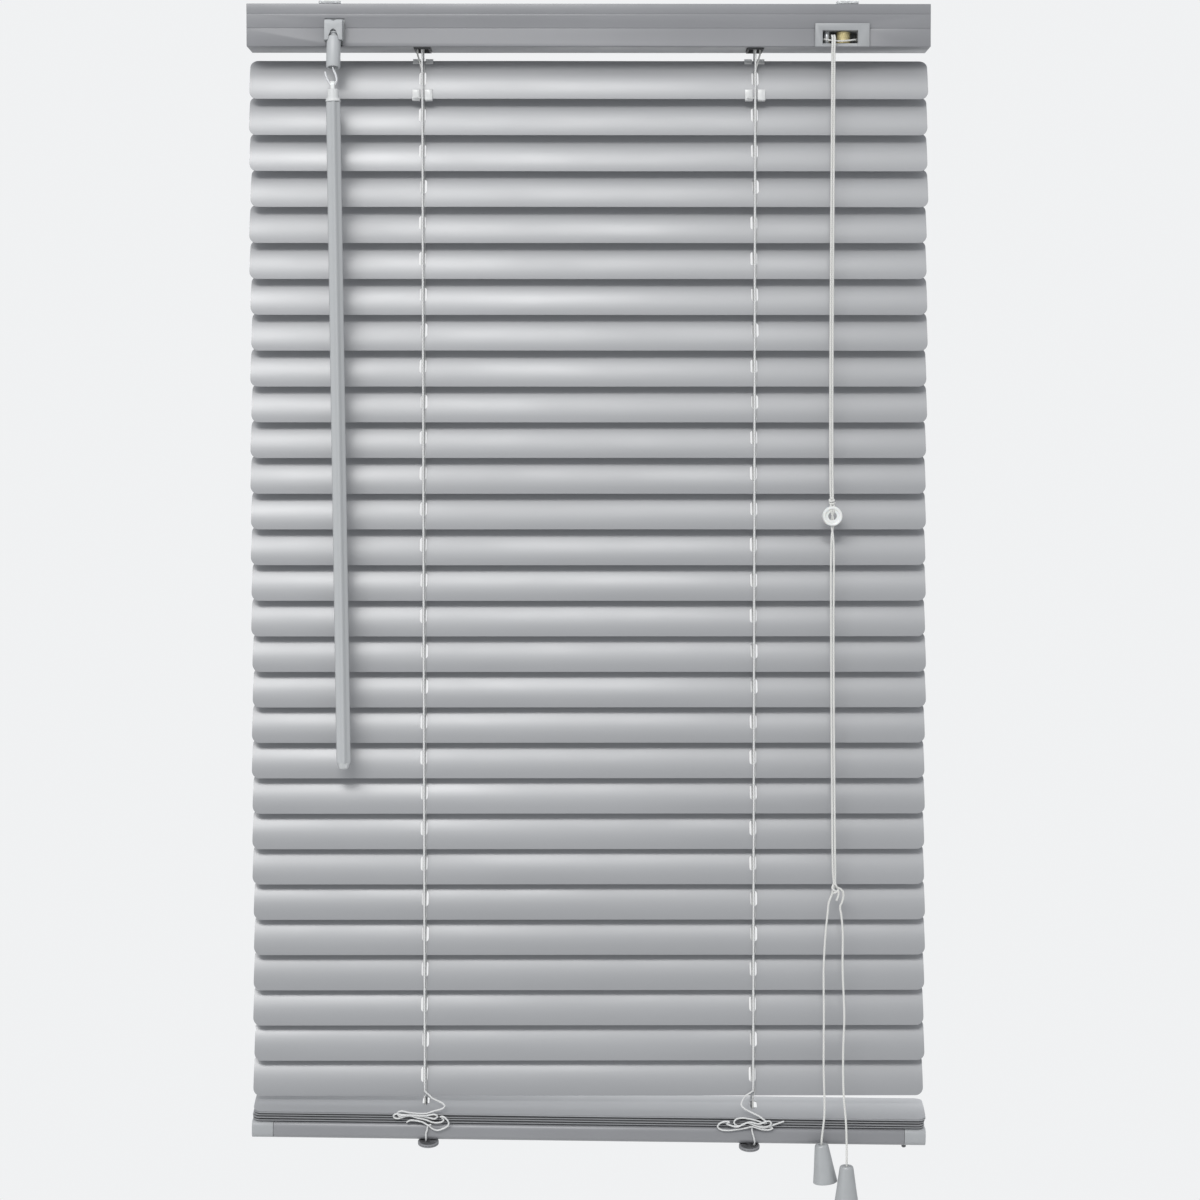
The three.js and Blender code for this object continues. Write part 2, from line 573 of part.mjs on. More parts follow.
const rightRoute = [
  [LOWER_KNOT_X, PULL_Y, LOWER_KNOT_Z], [148.4, -29, -518], [149.8, -29.4, -525], [150.7, -29.9, -535],
  [150.6, -31, -557], [151.6, -32.2, -586], [150.9, -33.2, -606], [151.1, -34.2, -631], [152.5, -35.6, -650],
  [152.8, RIGHT_TASSEL_Y, -668], [152.7, RIGHT_TASSEL_Y, RIGHT_TASSEL_TOP - TASSEL_KNOT_DROP],
];

function knot(radius, x, y, z) {
  return new THREE.SphereGeometry(radius, 8, 6).translate(x, y, z);
}

function pullCord() {
  return join(
    tube(lockRoute, PULL_PAIR_RADIUS, 12),
    tube(pairRoute, PULL_PAIR_RADIUS, 24),
    tube(leftRoute, PULL_CORD_RADIUS, 22),
    tube(rightRoute, PULL_CORD_RADIUS, 22),
    knot(1.9, 143.7, PULL_Y, UPPER_KNOT_Z),
    knot(2.4, LOWER_KNOT_X, PULL_Y, LOWER_KNOT_Z),
    knot(1.8, 138.8, LEFT_TASSEL_Y, LEFT_TASSEL_TOP - TASSEL_KNOT_DROP),
    knot(1.8, 152.7, RIGHT_TASSEL_Y, RIGHT_TASSEL_TOP - TASSEL_KNOT_DROP),
  );
}

add('pull_cord', pullCord(), WHITE_CORD);

function cordDisc() {
  const disc = cylinder(DISC_RADIUS, 'y', -DISC_THICKNESS / 2, DISC_THICKNESS / 2, 20);
  const bore = cylinder(PULL_PAIR_RADIUS + GAP, 'z', -8, 8, 12);
  const eye = cylinder(2.4, 'y', -4, 4, 12);
  return cut(disc, bore, eye);
}

add('cord_disc', cordDisc(), WHITE_PLASTIC).position.set(DISC_X, PULL_Y, DISC_Z);

function tasselGeometry() {
  const profile = [
    [1, 0], [1, -2], [TASSEL_TOP_RADIUS - 0.8, -2], [TASSEL_BOTTOM_RADIUS - 1, -TASSEL_LENGTH],
    [TASSEL_BOTTOM_RADIUS, -TASSEL_LENGTH], [TASSEL_TOP_RADIUS, 0], [1, 0],
  ];
  const points = profile.map(([r, z]) => new THREE.Vector2(r, z));
  return new THREE.LatheGeometry(points, 16).rotateX(Math.PI / 2);
}

const tasselLeft = add('cord_tassel_left', tasselGeometry(), GREY_PLASTIC);
tasselLeft.position.set(138.4, LEFT_TASSEL_Y, LEFT_TASSEL_TOP);
tasselLeft.rotation.y = LEFT_TASSEL_LEAN;
const tasselRight = add('cord_tassel_right', tasselGeometry(), GREY_PLASTIC);
tasselRight.position.set(152.7, RIGHT_TASSEL_Y, RIGHT_TASSEL_TOP);

// ---- mounting brackets ----

function bracket() {
  const side = BRACKET_WIDTH / 2;
  const over = HEADRAIL_SIZE / 2 + GAP;
  const top = box(-side, side, -HEADRAIL_SIZE + 0.5, -0.5, over, BRACKET_TOP);
  const under = HEADRAIL_SIZE / 2 - HEADRAIL_WALL - GAP;
  const tabs = [
    box(-side, side, -21.6, -20.6, under - 1, over + 0.5),
    box(-side, side, -23.9, -20.6, under - 1.2, under),
    box(-side, side, -4.4, -3.4, under - 1, over + 0.5),
    box(-side, side, -4.4, -1.1, under - 1.2, under),
  ];
  const screwHole = cylinder(2, 'z', 10, 16, 12).translate(0, -12.5, 0);
  return cut(join(top, ...tabs), screwHole);
}

for (const [side, x] of [['left', -BRACKET_X], ['right', BRACKET_X]]) {
  add(`mounting_bracket_${side}`, bracket(), WHITE_PLASTIC).position.x = x;
}

export default blind;
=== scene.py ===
"""A 25 mm venetian blind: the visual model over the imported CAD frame. Metres, +Z up, -Y towards the room."""
import math
import random

import bmesh
import bpy
from mathutils import Matrix, Vector


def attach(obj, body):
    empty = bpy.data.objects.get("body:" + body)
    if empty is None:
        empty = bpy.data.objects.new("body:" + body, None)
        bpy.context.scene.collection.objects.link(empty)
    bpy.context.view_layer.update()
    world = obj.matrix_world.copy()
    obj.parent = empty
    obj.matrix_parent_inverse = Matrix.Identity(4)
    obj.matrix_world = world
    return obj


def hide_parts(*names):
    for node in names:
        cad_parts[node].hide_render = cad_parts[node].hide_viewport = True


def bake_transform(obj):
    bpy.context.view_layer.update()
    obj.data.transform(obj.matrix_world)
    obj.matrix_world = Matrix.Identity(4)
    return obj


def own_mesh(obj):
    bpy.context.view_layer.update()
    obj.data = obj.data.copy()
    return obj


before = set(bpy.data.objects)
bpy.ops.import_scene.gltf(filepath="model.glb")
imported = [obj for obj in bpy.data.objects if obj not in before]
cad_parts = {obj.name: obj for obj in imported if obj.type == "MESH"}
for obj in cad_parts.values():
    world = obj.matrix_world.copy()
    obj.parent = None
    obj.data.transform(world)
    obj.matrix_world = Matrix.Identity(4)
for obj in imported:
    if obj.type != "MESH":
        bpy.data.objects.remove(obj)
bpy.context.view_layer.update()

MM = 0.001
random.seed(25)

# ---- the blind's own numbers, in millimetres, as in the CAD model ----

MID_Y = -12.5
SLAT_COUNT = 29
FIRST_GATHERED = 25
SLAT_PITCH = 21.25
FIRST_SLAT_Z = -30.5
SLAT_LENGTH = 402.0
SLAT_WIDTH = 25.0
SLAT_THICKNESS = 0.35
SLAT_CROWN = math.radians(14)
SLAT_CORNER = 4.5
CLOSED_TILT = math.radians(70)
ROUTE_HOLE_X = 98.5
HEADRAIL_CORD_X = 101.5
ROUTE_HOLE_WIDTH = 4.0
ROUTE_HOLE_LENGTH = 9.5
LADDER_X = 98.5
LADDER_STANDOFF = 0.95
RAIL_TOP = -652.8
RAIL_HEIGHT = 10.5
RAIL_ROLL = math.radians(0.8)
STACK_PITCH = 1.5
STACK_TILT = math.radians(15)
STACK_RISE = 8.6
BUTTON_X = 96.0
BUTTON_Y = -10.4
BUTTON_DROP = 1.7
BUTTON_LEAN = math.radians(10)
BUTTON_STEM_Y = -7.5
LIFT_CORD_Y = -14.1
PULL_Y = -28.6
LEFT_TASSEL_Y = -30.0
RIGHT_TASSEL_Y = -37.0

EDGE_Y = SLAT_WIDTH / 2 * math.cos(CLOSED_TILT)
EDGE_Z = SLAT_WIDTH / 2 * math.sin(CLOSED_TILT)
FRONT_Y = MID_Y - EDGE_Y - LADDER_STANDOFF
BACK_Y = MID_Y + EDGE_Y + LADDER_STANDOFF


def slat_z(number):
    return FIRST_SLAT_Z - SLAT_PITCH * (number - 1)


# ---- camera ----

camera_data = bpy.data.cameras.new("camera")
camera_data.lens = 74.75
camera_data.sensor_width = 36
camera = bpy.data.objects.new("camera", camera_data)
bpy.context.scene.collection.objects.link(camera)
camera.location = (0.0002, -1.50, -0.245)
target = Vector((0.0066, -0.0168, -0.2963))
camera_data.shift_y = -0.06
look = (target - camera.location).to_track_quat("-Z", "Y").to_matrix().to_4x4()
camera.matrix_world = Matrix.Translation(camera.location) @ look
bpy.context.scene.camera = camera
bpy.context.scene.view_settings.view_transform = "Standard"


# ---- materials ----

class Surface:
    """A Principled material with a few procedural layers, all in object coordinates."""

    def __init__(self, name, colour, roughness, metallic=0.0, **sockets):
        self.material = bpy.data.materials.new(name)
        self.material.use_nodes = True
        self.nodes = self.material.node_tree.nodes
        self.links = self.material.node_tree.links
        self.shader = self.nodes["Principled BSDF"]
        self.shader.inputs["Base Color"].default_value = (*colour, 1)
        self.shader.inputs["Roughness"].default_value = roughness
        self.shader.inputs["Metallic"].default_value = metallic
        for socket, value in sockets.items():
            self.shader.inputs[socket.replace("_", " ")].default_value = value
        self.colour = colour
        self.normal = None
        self.place = self.nodes.new("ShaderNodeTexCoord").outputs["Object"]

    def node(self, kind, **settings):
        made = self.nodes.new(kind)
        for key, value in settings.items():
            setattr(made, key, value)
        return made

    def maths(self, operation, *values):
        """A Math node; each value is a number or another node's output."""
        made = self.node("ShaderNodeMath", operation=operation)
        for socket, value in zip(made.inputs, values):
            if isinstance(value, (int, float)):
                socket.default_value = value
            else:
                self.links.new(value, socket)
        return made.outputs["Value"]

    def noise(self, scale, stretch=(1, 1, 1), detail=3.0, rough=0.5):
        mapping = self.node("ShaderNodeMapping")
        mapping.inputs["Scale"].default_value = stretch
        self.links.new(self.place, mapping.inputs["Vector"])
        texture = self.node("ShaderNodeTexNoise")
        texture.inputs["Scale"].default_value = scale
        texture.inputs["Detail"].default_value = detail
        texture.inputs["Roughness"].default_value = rough
        self.links.new(mapping.outputs["Vector"], texture.inputs["Vector"])
        return texture.outputs["Fac"]

    def ranged(self, value, low, high, source=(0.3, 0.7)):
        spread = self.node("ShaderNodeMapRange")
        spread.inputs["From Min"].default_value = source[0]
        spread.inputs["From Max"].default_value = source[1]
        spread.inputs["To Min"].default_value = low
        spread.inputs["To Max"].default_value = high
        self.links.new(value, spread.inputs["Value"])
        return spread.outputs["Result"]

    def mottle(self, amount, scale, stretch=(1, 1, 1), tint=(1, 1, 1)):
        """Darker and lighter patches of the surface's own colour."""
        mix = self.node("ShaderNodeMix", data_type="RGBA")
        dark = [c * (1 - amount) * t for c, t in zip(self.colour, tint)]
        light = [min(1, c * (1 + amount)) for c in self.colour]
        mix.inputs["A"].default_value = (*dark, 1)
        mix.inputs["B"].default_value = (*light, 1)
        self.links.new(self.ranged(self.noise(scale, stretch), 0, 1), mix.inputs["Factor"])
        self.links.new(mix.outputs["Result"], self.shader.inputs["Base Color"])
        return self

    def uneven_gloss(self, low, high, scale, stretch=(1, 1, 1)):
        self.links.new(self.ranged(self.noise(scale, stretch), low, high), self.shader.inputs["Roughness"])
        return self

    def bump(self, height, distance, strength=0.4):
        made = self.node("ShaderNodeBump")
        made.inputs["Strength"].default_value = strength
        made.inputs["Distance"].default_value = distance
        self.links.new(height, made.inputs["Height"])
        if self.normal is not None:
            self.links.new(self.normal, made.inputs["Normal"])
        self.normal = made.outputs["Normal"]
        self.links.new(self.normal, self.shader.inputs["Normal"])
        return self

    def grainy(self, scale, distance, strength=0.4, stretch=(1, 1, 1)):
        return self.bump(self.noise(scale, stretch), distance, strength)

    def braided(self, strands=4, lays=0.55, distance=0.00018):
        """Two sets of strands that wind round the cord in opposite directions, with painted shade darkening
        the grooves between them.
        """
        uv = self.node("ShaderNodeUVMap", uv_map="cord")
        parts = self.node("ShaderNodeSeparateXYZ")
        self.links.new(uv.outputs["UV"], parts.inputs["Vector"])
        waves = []
        for direction in (1, -1):
            around = self.maths("MULTIPLY", parts.outputs["X"], strands * 2 * math.pi)
            turns = direction * lays * 2 * math.pi
            waves.append(self.maths("SINE", self.maths("MULTIPLY_ADD", parts.outputs["Y"], turns, around)))
        top = self.maths("MAXIMUM", *waves)
        # Painted shade: the cord's colour darkens to 0.72 of itself in the grooves between the strands.
        painted_groove_shade = self.node("ShaderNodeMix", data_type="RGBA")
        painted_groove_shade.inputs["A"].default_value = (*[c * 0.72 for c in self.colour], 1)
        painted_groove_shade.inputs["B"].default_value = (*self.colour, 1)
        self.links.new(self.ranged(top, 0, 1, (-0.4, 0.8)), painted_groove_shade.inputs["Factor"])
        self.links.new(painted_groove_shade.outputs["Result"], self.shader.inputs["Base Color"])
        return self.bump(top, distance, 0.8)


def make_materials():
    made = {}

    rail = Surface("rail_paint", (0.235, 0.238, 0.25), 0.42, 0.1, Coat_Weight=0.12, Coat_Roughness=0.3)
    rail.mottle(0.035, 14).uneven_gloss(0.36, 0.46, 40).grainy(1400, 0.00004, 0.3)
    made["rail"] = rail

    slat = Surface("slat_lacquer", (0.30, 0.305, 0.316), 0.36, 0.2, Coat_Weight=0.2, Coat_Roughness=0.3)
    slat.mottle(0.045, 9, (0.35, 1, 1)).uneven_gloss(0.33, 0.43, 30, (0.3, 1, 1))
    slat.grainy(1500, 0.00003, 0.25).grainy(500, 0.00003, 0.2, (0.04, 1, 1))
    made["slat"] = slat

    plastic = Surface("grey_moulding", (0.33, 0.34, 0.35), 0.42, 0.0, Specular_IOR_Level=0.45)
    plastic.mottle(0.04, 60).uneven_gloss(0.38, 0.52, 90).grainy(2600, 0.00004, 0.35)
    made["plastic"] = plastic

    tilter = Surface("tilter_moulding", (0.42, 0.433, 0.443), 0.38, 0.0, Specular_IOR_Level=0.45)
    tilter.mottle(0.04, 60).uneven_gloss(0.32, 0.46, 90).grainy(2600, 0.00004, 0.35)
    made["tilter"] = tilter

    tassel = Surface("tassel_moulding", (0.35, 0.362, 0.37), 0.32, 0.05, Coat_Weight=0.25)
    tassel.shader.inputs["Coat Roughness"].default_value = 0.25
    tassel.mottle(0.05, 80).uneven_gloss(0.28, 0.4, 120).grainy(2200, 0.00003, 0.3)
    made["tassel"] = tassel

    dark = Surface("dark_moulding", (0.045, 0.045, 0.048), 0.5)
    dark.mottle(0.15, 90).uneven_gloss(0.42, 0.6, 120).grainy(2400, 0.00005, 0.4)
    made["dark"] = dark

    button = Surface("button_moulding", (0.12, 0.122, 0.126), 0.45)
    button.mottle(0.12, 90).uneven_gloss(0.4, 0.55, 120).grainy(2400, 0.00005, 0.4)
    made["button"] = button

    white = Surface("white_moulding", (0.74, 0.745, 0.73), 0.32, 0.0, Subsurface_Weight=0.05)
    white.mottle(0.03, 90).uneven_gloss(0.26, 0.4, 150).grainy(2000, 0.00003, 0.3)
    made["white"] = white

    clear = Surface("clear_moulding", (0.82, 0.835, 0.84), 0.16, 0.0, Transmission_Weight=0.55, IOR=1.49)
    clear.mottle(0.02, 70).uneven_gloss(0.1, 0.22, 200).grainy(1200, 0.00003, 0.25)
    made["clear"] = clear

    clip = Surface("clip_moulding", (0.80, 0.81, 0.81), 0.2, 0.0, Transmission_Weight=0.3, IOR=1.49)
    clip.mottle(0.02, 70).uneven_gloss(0.14, 0.26, 200).grainy(1200, 0.00003, 0.25)
    made["clip"] = clip

    wand = Surface("wand_styrene", (0.40, 0.412, 0.42), 0.26, 0.0, IOR=1.5)
    wand.mottle(0.03, 20, (1, 1, 0.2)).uneven_gloss(0.14, 0.26, 60, (1, 1, 0.15))
    wand.grainy(700, 0.00004, 0.25, (1, 1, 0.08))
    made["wand"] = wand

    cord = Surface("white_braid", (0.78, 0.78, 0.755), 0.8, 0.0, Sheen_Weight=0.3, Sheen_Roughness=0.5)
    cord.braided()
    made["cord"] = cord

    thin = Surface("ladder_braid", (0.74, 0.745, 0.74), 0.78, 0.0, Sheen_Weight=0.25, Sheen_Roughness=0.5)
    thin.braided(3, 0.5, 0.00014)
    made["ladder"] = thin

    zinc = Surface("zinc_plate", (0.60, 0.61, 0.62), 0.35, 0.7)
    zinc.mottle(0.1, 120, (0.2, 1, 1)).uneven_gloss(0.28, 0.48, 160, (0.15, 1, 1))
    zinc.grainy(900, 0.00003, 0.3, (0.05, 1, 1))
    made["zinc"] = zinc

    bright = Surface("bright_wire", (0.88, 0.885, 0.89), 0.28, 0.85)
    bright.mottle(0.05, 300).uneven_gloss(0.12, 0.24, 400).grainy(1500, 0.00002, 0.2)
    made["bright"] = bright

    brass = Surface("dull_brass", (0.62, 0.54, 0.30), 0.36, 0.6)
    brass.mottle(0.16, 260, tint=(0.95, 0.9, 0.8)).uneven_gloss(0.26, 0.46, 300).grainy(2500, 0.00003, 0.3)
    made["brass"] = brass

    return {key: surface.material for key, surface in made.items()}


MATERIALS = make_materials()


# ---- mesh helpers: all take millimetres ----

def finished(name, mesh, look, body, smooth_angle):
    """A mesh in metres, made a smooth-shaded object with its material and its body."""
    mesh.polygons.foreach_set("use_smooth", [True] * len(mesh.polygons))
    mesh.set_sharp_from_angle(angle=math.radians(smooth_angle))
    mesh.materials.append(MATERIALS[look])
    mesh.update()
    obj = bpy.data.objects.new(name, mesh)
    bpy.context.scene.collection.objects.link(obj)
    if body is not None:
        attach(obj, body)
    return obj


def piece(name, verts, faces, look, body=None, smooth_angle=35, uvs=None):
    mesh = bpy.data.meshes.new(name)
    mesh.from_pydata([Vector(v) * MM for v in verts], [], faces)
    if uvs is not None:
        layer = mesh.uv_layers.new(name="cord")
        for loop, uv in zip(layer.data, uvs):
            loop.uv = uv
    return finished(name, mesh, look, body, smooth_angle)


def piece_from(bm, name, look, body, smooth_angle=50):
    mesh = bpy.data.meshes.new(name)
    bm.to_mesh(mesh)
    bm.free()
    return finished(name, mesh, look, body, smooth_angle)


def round_over(bm, width, angle, segments=2):
    """Bevels the edges that are sharper than an angle in degrees."""
    limit = math.radians(angle)
    sharp = [e for e in bm.edges if len(e.link_faces) == 2 and e.calc_face_angle(0) > limit]
    bmesh.ops.bevel(
        bm, geom=sharp, offset=width * MM, segments=segments, profile=0.5, affect="EDGES", clamp_overlap=True
    )


def smooth_route(points, spacing):
    """Evenly spaced points, in millimetres, on a centripetal Catmull-Rom curve through the given ones."""
    pts = [Vector(p) for p in points]
    pts = [pts[0] * 2 - pts[1]] + pts + [pts[-1] * 2 - pts[-2]]
    dense = []
    for i in range(1, len(pts) - 2):
        p0, p1, p2, p3 = pts[i - 1 : i + 3]
        t0 = 0.0
        t1 = t0 + max((p1 - p0).length, 1e-6) ** 0.5
        t2 = t1 + max((p2 - p1).length, 1e-6) ** 0.5
        t3 = t2 + max((p3 - p2).length, 1e-6) ** 0.5
        count = max(4, int((p2 - p1).length / (spacing * 0.25)))
        for step in range(count):
            t = t1 + (t2 - t1) * step / count
            a1 = p0 * ((t1 - t) / (t1 - t0)) + p1 * ((t - t0) / (t1 - t0))
            a2 = p1 * ((t2 - t) / (t2 - t1)) + p2 * ((t - t1) / (t2 - t1))
            a3 = p2 * ((t3 - t) / (t3 - t2)) + p3 * ((t - t2) / (t3 - t2))
            b1 = a1 * ((t2 - t) / (t2 - t0)) + a2 * ((t - t0) / (t2 - t0))
            b2 = a2 * ((t3 - t) / (t3 - t1)) + a3 * ((t - t1) / (t3 - t1))
            dense.append(b1 * ((t2 - t) / (t2 - t1)) + b2 * ((t - t1) / (t2 - t1)))
    dense.append(pts[-2].copy())
    total = sum((b - a).length for a, b in zip(dense, dense[1:]))
    count = max(2, round(total / spacing))
    route, walked, target_length = [dense[0]], 0.0, total / count
    for a, b in zip(dense, dense[1:]):
        length = (b - a).length
        while length > 0 and walked + length >= target_length - 1e-9 and len(route) < count:
            route.append(a.lerp(b, (target_length - walked) / length))
            target_length += total / count
        walked += length
    route.append(dense[-1])
    return route


def route_length(route):
    return sum((b - a).length for a, b in zip(route, route[1:]))


def tube(name, points, radius, look, body=None, sides=10, spacing=2.0, radii=None, smooth=True):
    """A round cord or wire along a curve, with UVs that run round it and along it."""
    route = smooth_route(points, spacing) if smooth else [Vector(p) for p in points]
    tangents = []
    for i, p in enumerate(route):
        before, after = route[max(0, i - 1)], route[min(len(route) - 1, i + 1)]
        tangents.append((after - before).normalized())
    normal = tangents[0].orthogonal().normalized()
    verts, walked, distances = [], 0.0, []
    for i, (p, tangent) in enumerate(zip(route, tangents)):
        if i:
            walked += (p - route[i - 1]).length
        distances.append(walked / (2 * radius))
        normal = (normal - tangent * normal.dot(tangent)).normalized()
        side = tangent.cross(normal)
        r = radius if radii is None else radius * radii(i / (len(route) - 1))
        for k in range(sides):
            angle = 2 * math.pi * k / sides
            verts.append(p + normal * (r * math.cos(angle)) + side * (r * math.sin(angle)))
    faces, uvs = [], []
    for i in range(len(route) - 1):
        for k in range(sides):
            n = (k + 1) % sides
            faces.append((i * sides + k, i * sides + n, (i + 1) * sides + n, (i + 1) * sides + k))
            u0, u1 = k / sides, (k + 1) / sides
            uvs += [(u0, distances[i]), (u1, distances[i]), (u1, distances[i + 1]), (u0, distances[i + 1])]
    first, last = tuple(reversed(range(sides))), tuple(range(len(verts) - sides, len(verts)))
    faces += [first, last]
    uvs += [(0, 0)] * sides + [(0, distances[-1])] * sides
    obj = piece(name, verts, faces, look, body, 50, uvs)
    obj["route_mm"] = route_length(route)
    return obj, route


def lathe(name, profile, look, body=None, segments=48, place=None, smooth_angle=35, closed=True):
    """A (radius, height) profile turned about Z and then placed; a closed profile makes a hollow ring."""
    verts, rings = [], []
    for r, z in profile:
        if r < 1e-6:
            rings.append([len(verts)])
            verts.append(Vector((0, 0, z)))
            continue
        rings.append(list(range(len(verts), len(verts) + segments)))
        for k in range(segments):
            angle = 2 * math.pi * k / segments
            verts.append(Vector((r * math.cos(angle), r * math.sin(angle), z)))
    pairs = list(zip(rings, rings[1:]))
    if closed:
        pairs.append((rings[-1], rings[0]))
    faces = []
    for low, high in pairs:
        for k in range(segments):
            n = (k + 1) % segments
            if len(low) == 1 and len(high) == 1:
                continue
            if len(low) == 1:
                faces.append((low[0], high[n], high[k]))
            elif len(high) == 1:
                faces.append((low[k], low[n], high[0]))
            else:
                faces.append((low[k], low[n], high[n], high[k]))
    place = place or Matrix.Identity(4)
    return piece(name, [place @ v for v in verts], faces, look, body, smooth_angle)


def softened(node, width, look, body, segments=2, angle=30):
    """The CAD node's own shape with its edges rounded over, standing for the node."""
    bm = bmesh.new()
    bm.from_mesh(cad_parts[node].data)
    bm.transform(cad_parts[node].matrix_world)
    bmesh.ops.remove_doubles(bm, verts=bm.verts, dist=2e-6)
    bmesh.ops.dissolve_limit(bm, angle_limit=math.radians(1), verts=bm.verts, edges=bm.edges)
    round_over(bm, width, angle, segments)
    obj = piece_from(bm, node + "_skin", look, body)
    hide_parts(node)
    return obj


# ---- pull cords: two strands to the lower knot, then one to each tassel ----

LOCK_ROUTE = [
    (143.9, -17.2, -5.6), (143.9, -20, -5.6), (143.9, -23, -5.7), (143.9, -25.6, -6.3), (143.9, -27.7, -8),
    (143.8, -28.5, -10.8), (143.6, PULL_Y, -15), (143.6, PULL_Y, -24),
]
PAIR_ROUTE = [(143.5, PULL_Y, -60), (143.2, PULL_Y, -150), (143.1, PULL_Y, -240), (143.4, PULL_Y, -273)]
BELOW_DISC = [(144.1, PULL_Y, -360), (144.8, PULL_Y, -440), (145.6, PULL_Y, -500)]
LEFT_ROUTE = [
    (144.6, PULL_Y, -513.2), (142.6, PULL_Y, -518.2), (141.9, PULL_Y, -524.3), (140.6, PULL_Y, -538),
    (139.6, PULL_Y, -558), (139.8, -28.8, -585), (139.7, -29.2, -616), (140.2, -29.7, -645),
    (139.2, LEFT_TASSEL_Y, -655), (138.5, LEFT_TASSEL_Y, -662), (138.8, LEFT_TASSEL_Y, -667.2),
]
RIGHT_ROUTE = [
    (147.9, -28.9, -509.9), (150.3, -29, -510.8), (151.2, -29, -513.5), (150.4, -29.1, -518.2),
    (149.1, -29.2, -520.9), (149.7, -29.4, -524.6), (150.7, -29.9, -535), (150.6, -31, -557),
    (151.6, -32.2, -586), (150.9, -33.2, -606), (151.1, -34.2, -631), (152.5, -35.6, -650),
    (152.8, RIGHT_TASSEL_Y, -668), (152.7, RIGHT_TASSEL_Y, -678.2),
]


def beside(points, offset):
    return [(x + offset, y, z) for x, y, z in points]


PULL_CORD_RADIUS = 0.62
PAIR_OFFSET = 0.66
LOWER_PAIR_OFFSET = 0.72


def pull_cords():
    through_disc = {
        -1: [(143.0, -28.8, -280.2), (142.9, -29.6, -283.4), (143.3, -30.1, -286.6), (144.2, -28.9, -289.5),
             (144.6, -28.2, -293.4), (143.7, -28.4, -299), (143.3, -28.6, -305)],
        1: [(144.3, -28.7, -280.2), (144.7, -29.4, -283.4), (144.5, -30.1, -286.2), (143.8, -27.7, -289.5),
            (143.3, -28.6, -293.4), (144.1, -28.7, -299), (144.7, -28.6, -305)],
    }
    cords = []
    named = ((-1, LEFT_ROUTE, "pull_cord_to_left_tassel"), (1, RIGHT_ROUTE, "pull_cord_to_right_tassel"))
    for side, tail, name in named:
        points = beside(LOCK_ROUTE + PAIR_ROUTE, side * PAIR_OFFSET)
        points += through_disc[side]
        points += beside(BELOW_DISC, side * LOWER_PAIR_OFFSET)
        points.append((146.0 + side * 0.6, PULL_Y, -508.6))
        points += tail
        obj, route = tube(name, points, PULL_CORD_RADIUS, "cord", spacing=2.2)
        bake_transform(obj)
        cords.append((obj, route))
    return cords


def knot(name, centre, radius, strand, turns, body, seed):
    """A small overhand knot: strands wound over a core."""
    rng = random.Random(seed)
    lean = Matrix.Rotation(rng.uniform(-0.5, 0.5), 3, "Y") @ Matrix.Rotation(rng.uniform(-0.4, 0.4), 3, "X")
    points = []
    steps = int(turns * 10)
    for i in range(steps + 1):
        t = i / steps
        angle = 2 * math.pi * turns * t
        r = (radius - strand) * (0.55 + 0.45 * math.sin(math.pi * t))
        spot = Vector((r * math.cos(angle), r * math.sin(angle), radius * 0.95 * (1 - 2 * t)))
        points.append(Vector(centre) + lean @ spot)
    obj, _ = tube(name, points, strand, "cord", body, spacing=0.5)
    return obj


def tassel(name, top, lean, node):
    place = Matrix.Translation(top) @ Matrix.Rotation(math.radians(lean), 4, "Y")
    profile = [
        (1.0, -0.4), (1.25, -0.05), (2.6, 0.0), (3.35, -0.1), (3.9, -0.6), (4.15, -1.4), (4.6, -4.5),
        (5.15, -8.5), (5.75, -13.0), (6.45, -17.6), (7.05, -21.4), (7.25, -22.4), (7.2, -22.8),
        (6.95, -22.95), (6.6, -22.85), (6.4, -22.3), (5.7, -17.5), (4.9, -12.0), (4.2, -6.5),
        (3.6, -3.2), (3.0, -2.2), (1.0, -2.0),
    ]
    profile.reverse()
    obj = lathe(name, profile, "tassel", "cord_pull", 48, place, 60)
    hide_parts(node)
    return obj


def cord_disc():
    """A white connector: a disc with a raised rim on each face and an eye through it."""
    place = Matrix.Translation((143.9, PULL_Y, -288.9)) @ Matrix.Rotation(math.pi / 2, 4, "X")
    profile = [
        (2.5, -1.0), (2.7, -1.25), (4.1, -1.3), (4.35, -2.0), (4.7, -2.2), (5.4, -2.15), (5.8, -1.7),
        (5.9, -0.9),
    ]
    profile += [(r, -z) for r, z in reversed(profile)]
    obj = lathe("cord_connector", profile, "white", None, 56, place, 40)
    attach(obj, "cord_pull")
    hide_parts("cord_disc")
    return obj


(left_cord, left_path), (right_cord, right_path) = pull_cords()
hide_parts("pull_cord")
upper_knot = knot("pull_cord_upper_knot", (143.6, PULL_Y - 0.1, -280.4), 2.1, 0.6, 2.5, "cord_pull", 1)
LOWER_KNOT = [
    (145.2, -28.0, -508.0), (144.5, -29.4, -509.6), (145.6, -30.2, -511.2), (147.4, -29.8, -511.6),
    (148.0, -28.4, -510.4), (146.6, -27.4, -509.4), (145.0, -27.8, -511.0), (144.9, -29.2, -512.8),
    (146.6, -30.1, -512.2), (148.0, -29.9, -511.2), (148.2, -29.8, -512.6), (148.0, -29.8, -514.4),
    (146.9, -29.8, -517.2),
]
lower_knot, _ = tube("pull_cord_lower_knot", LOWER_KNOT, 0.6, "cord", "cord_pull", spacing=0.5)
left_end = knot("pull_cord_left_end_knot", (138.8, LEFT_TASSEL_Y, -667.3), 1.8, 0.6, 2.0, "cord_pull", 3)
right_end = knot("pull_cord_right_end_knot", (152.7, RIGHT_TASSEL_Y, -678.3), 1.8, 0.6, 2.0, "cord_pull", 4)
left_tassel = tassel("tassel_left_skin", (138.4, LEFT_TASSEL_Y, -663.0), -6, "cord_tassel_left")
right_tassel = tassel("tassel_right_skin", (152.7, RIGHT_TASSEL_Y, -674.0), 0, "cord_tassel_right")
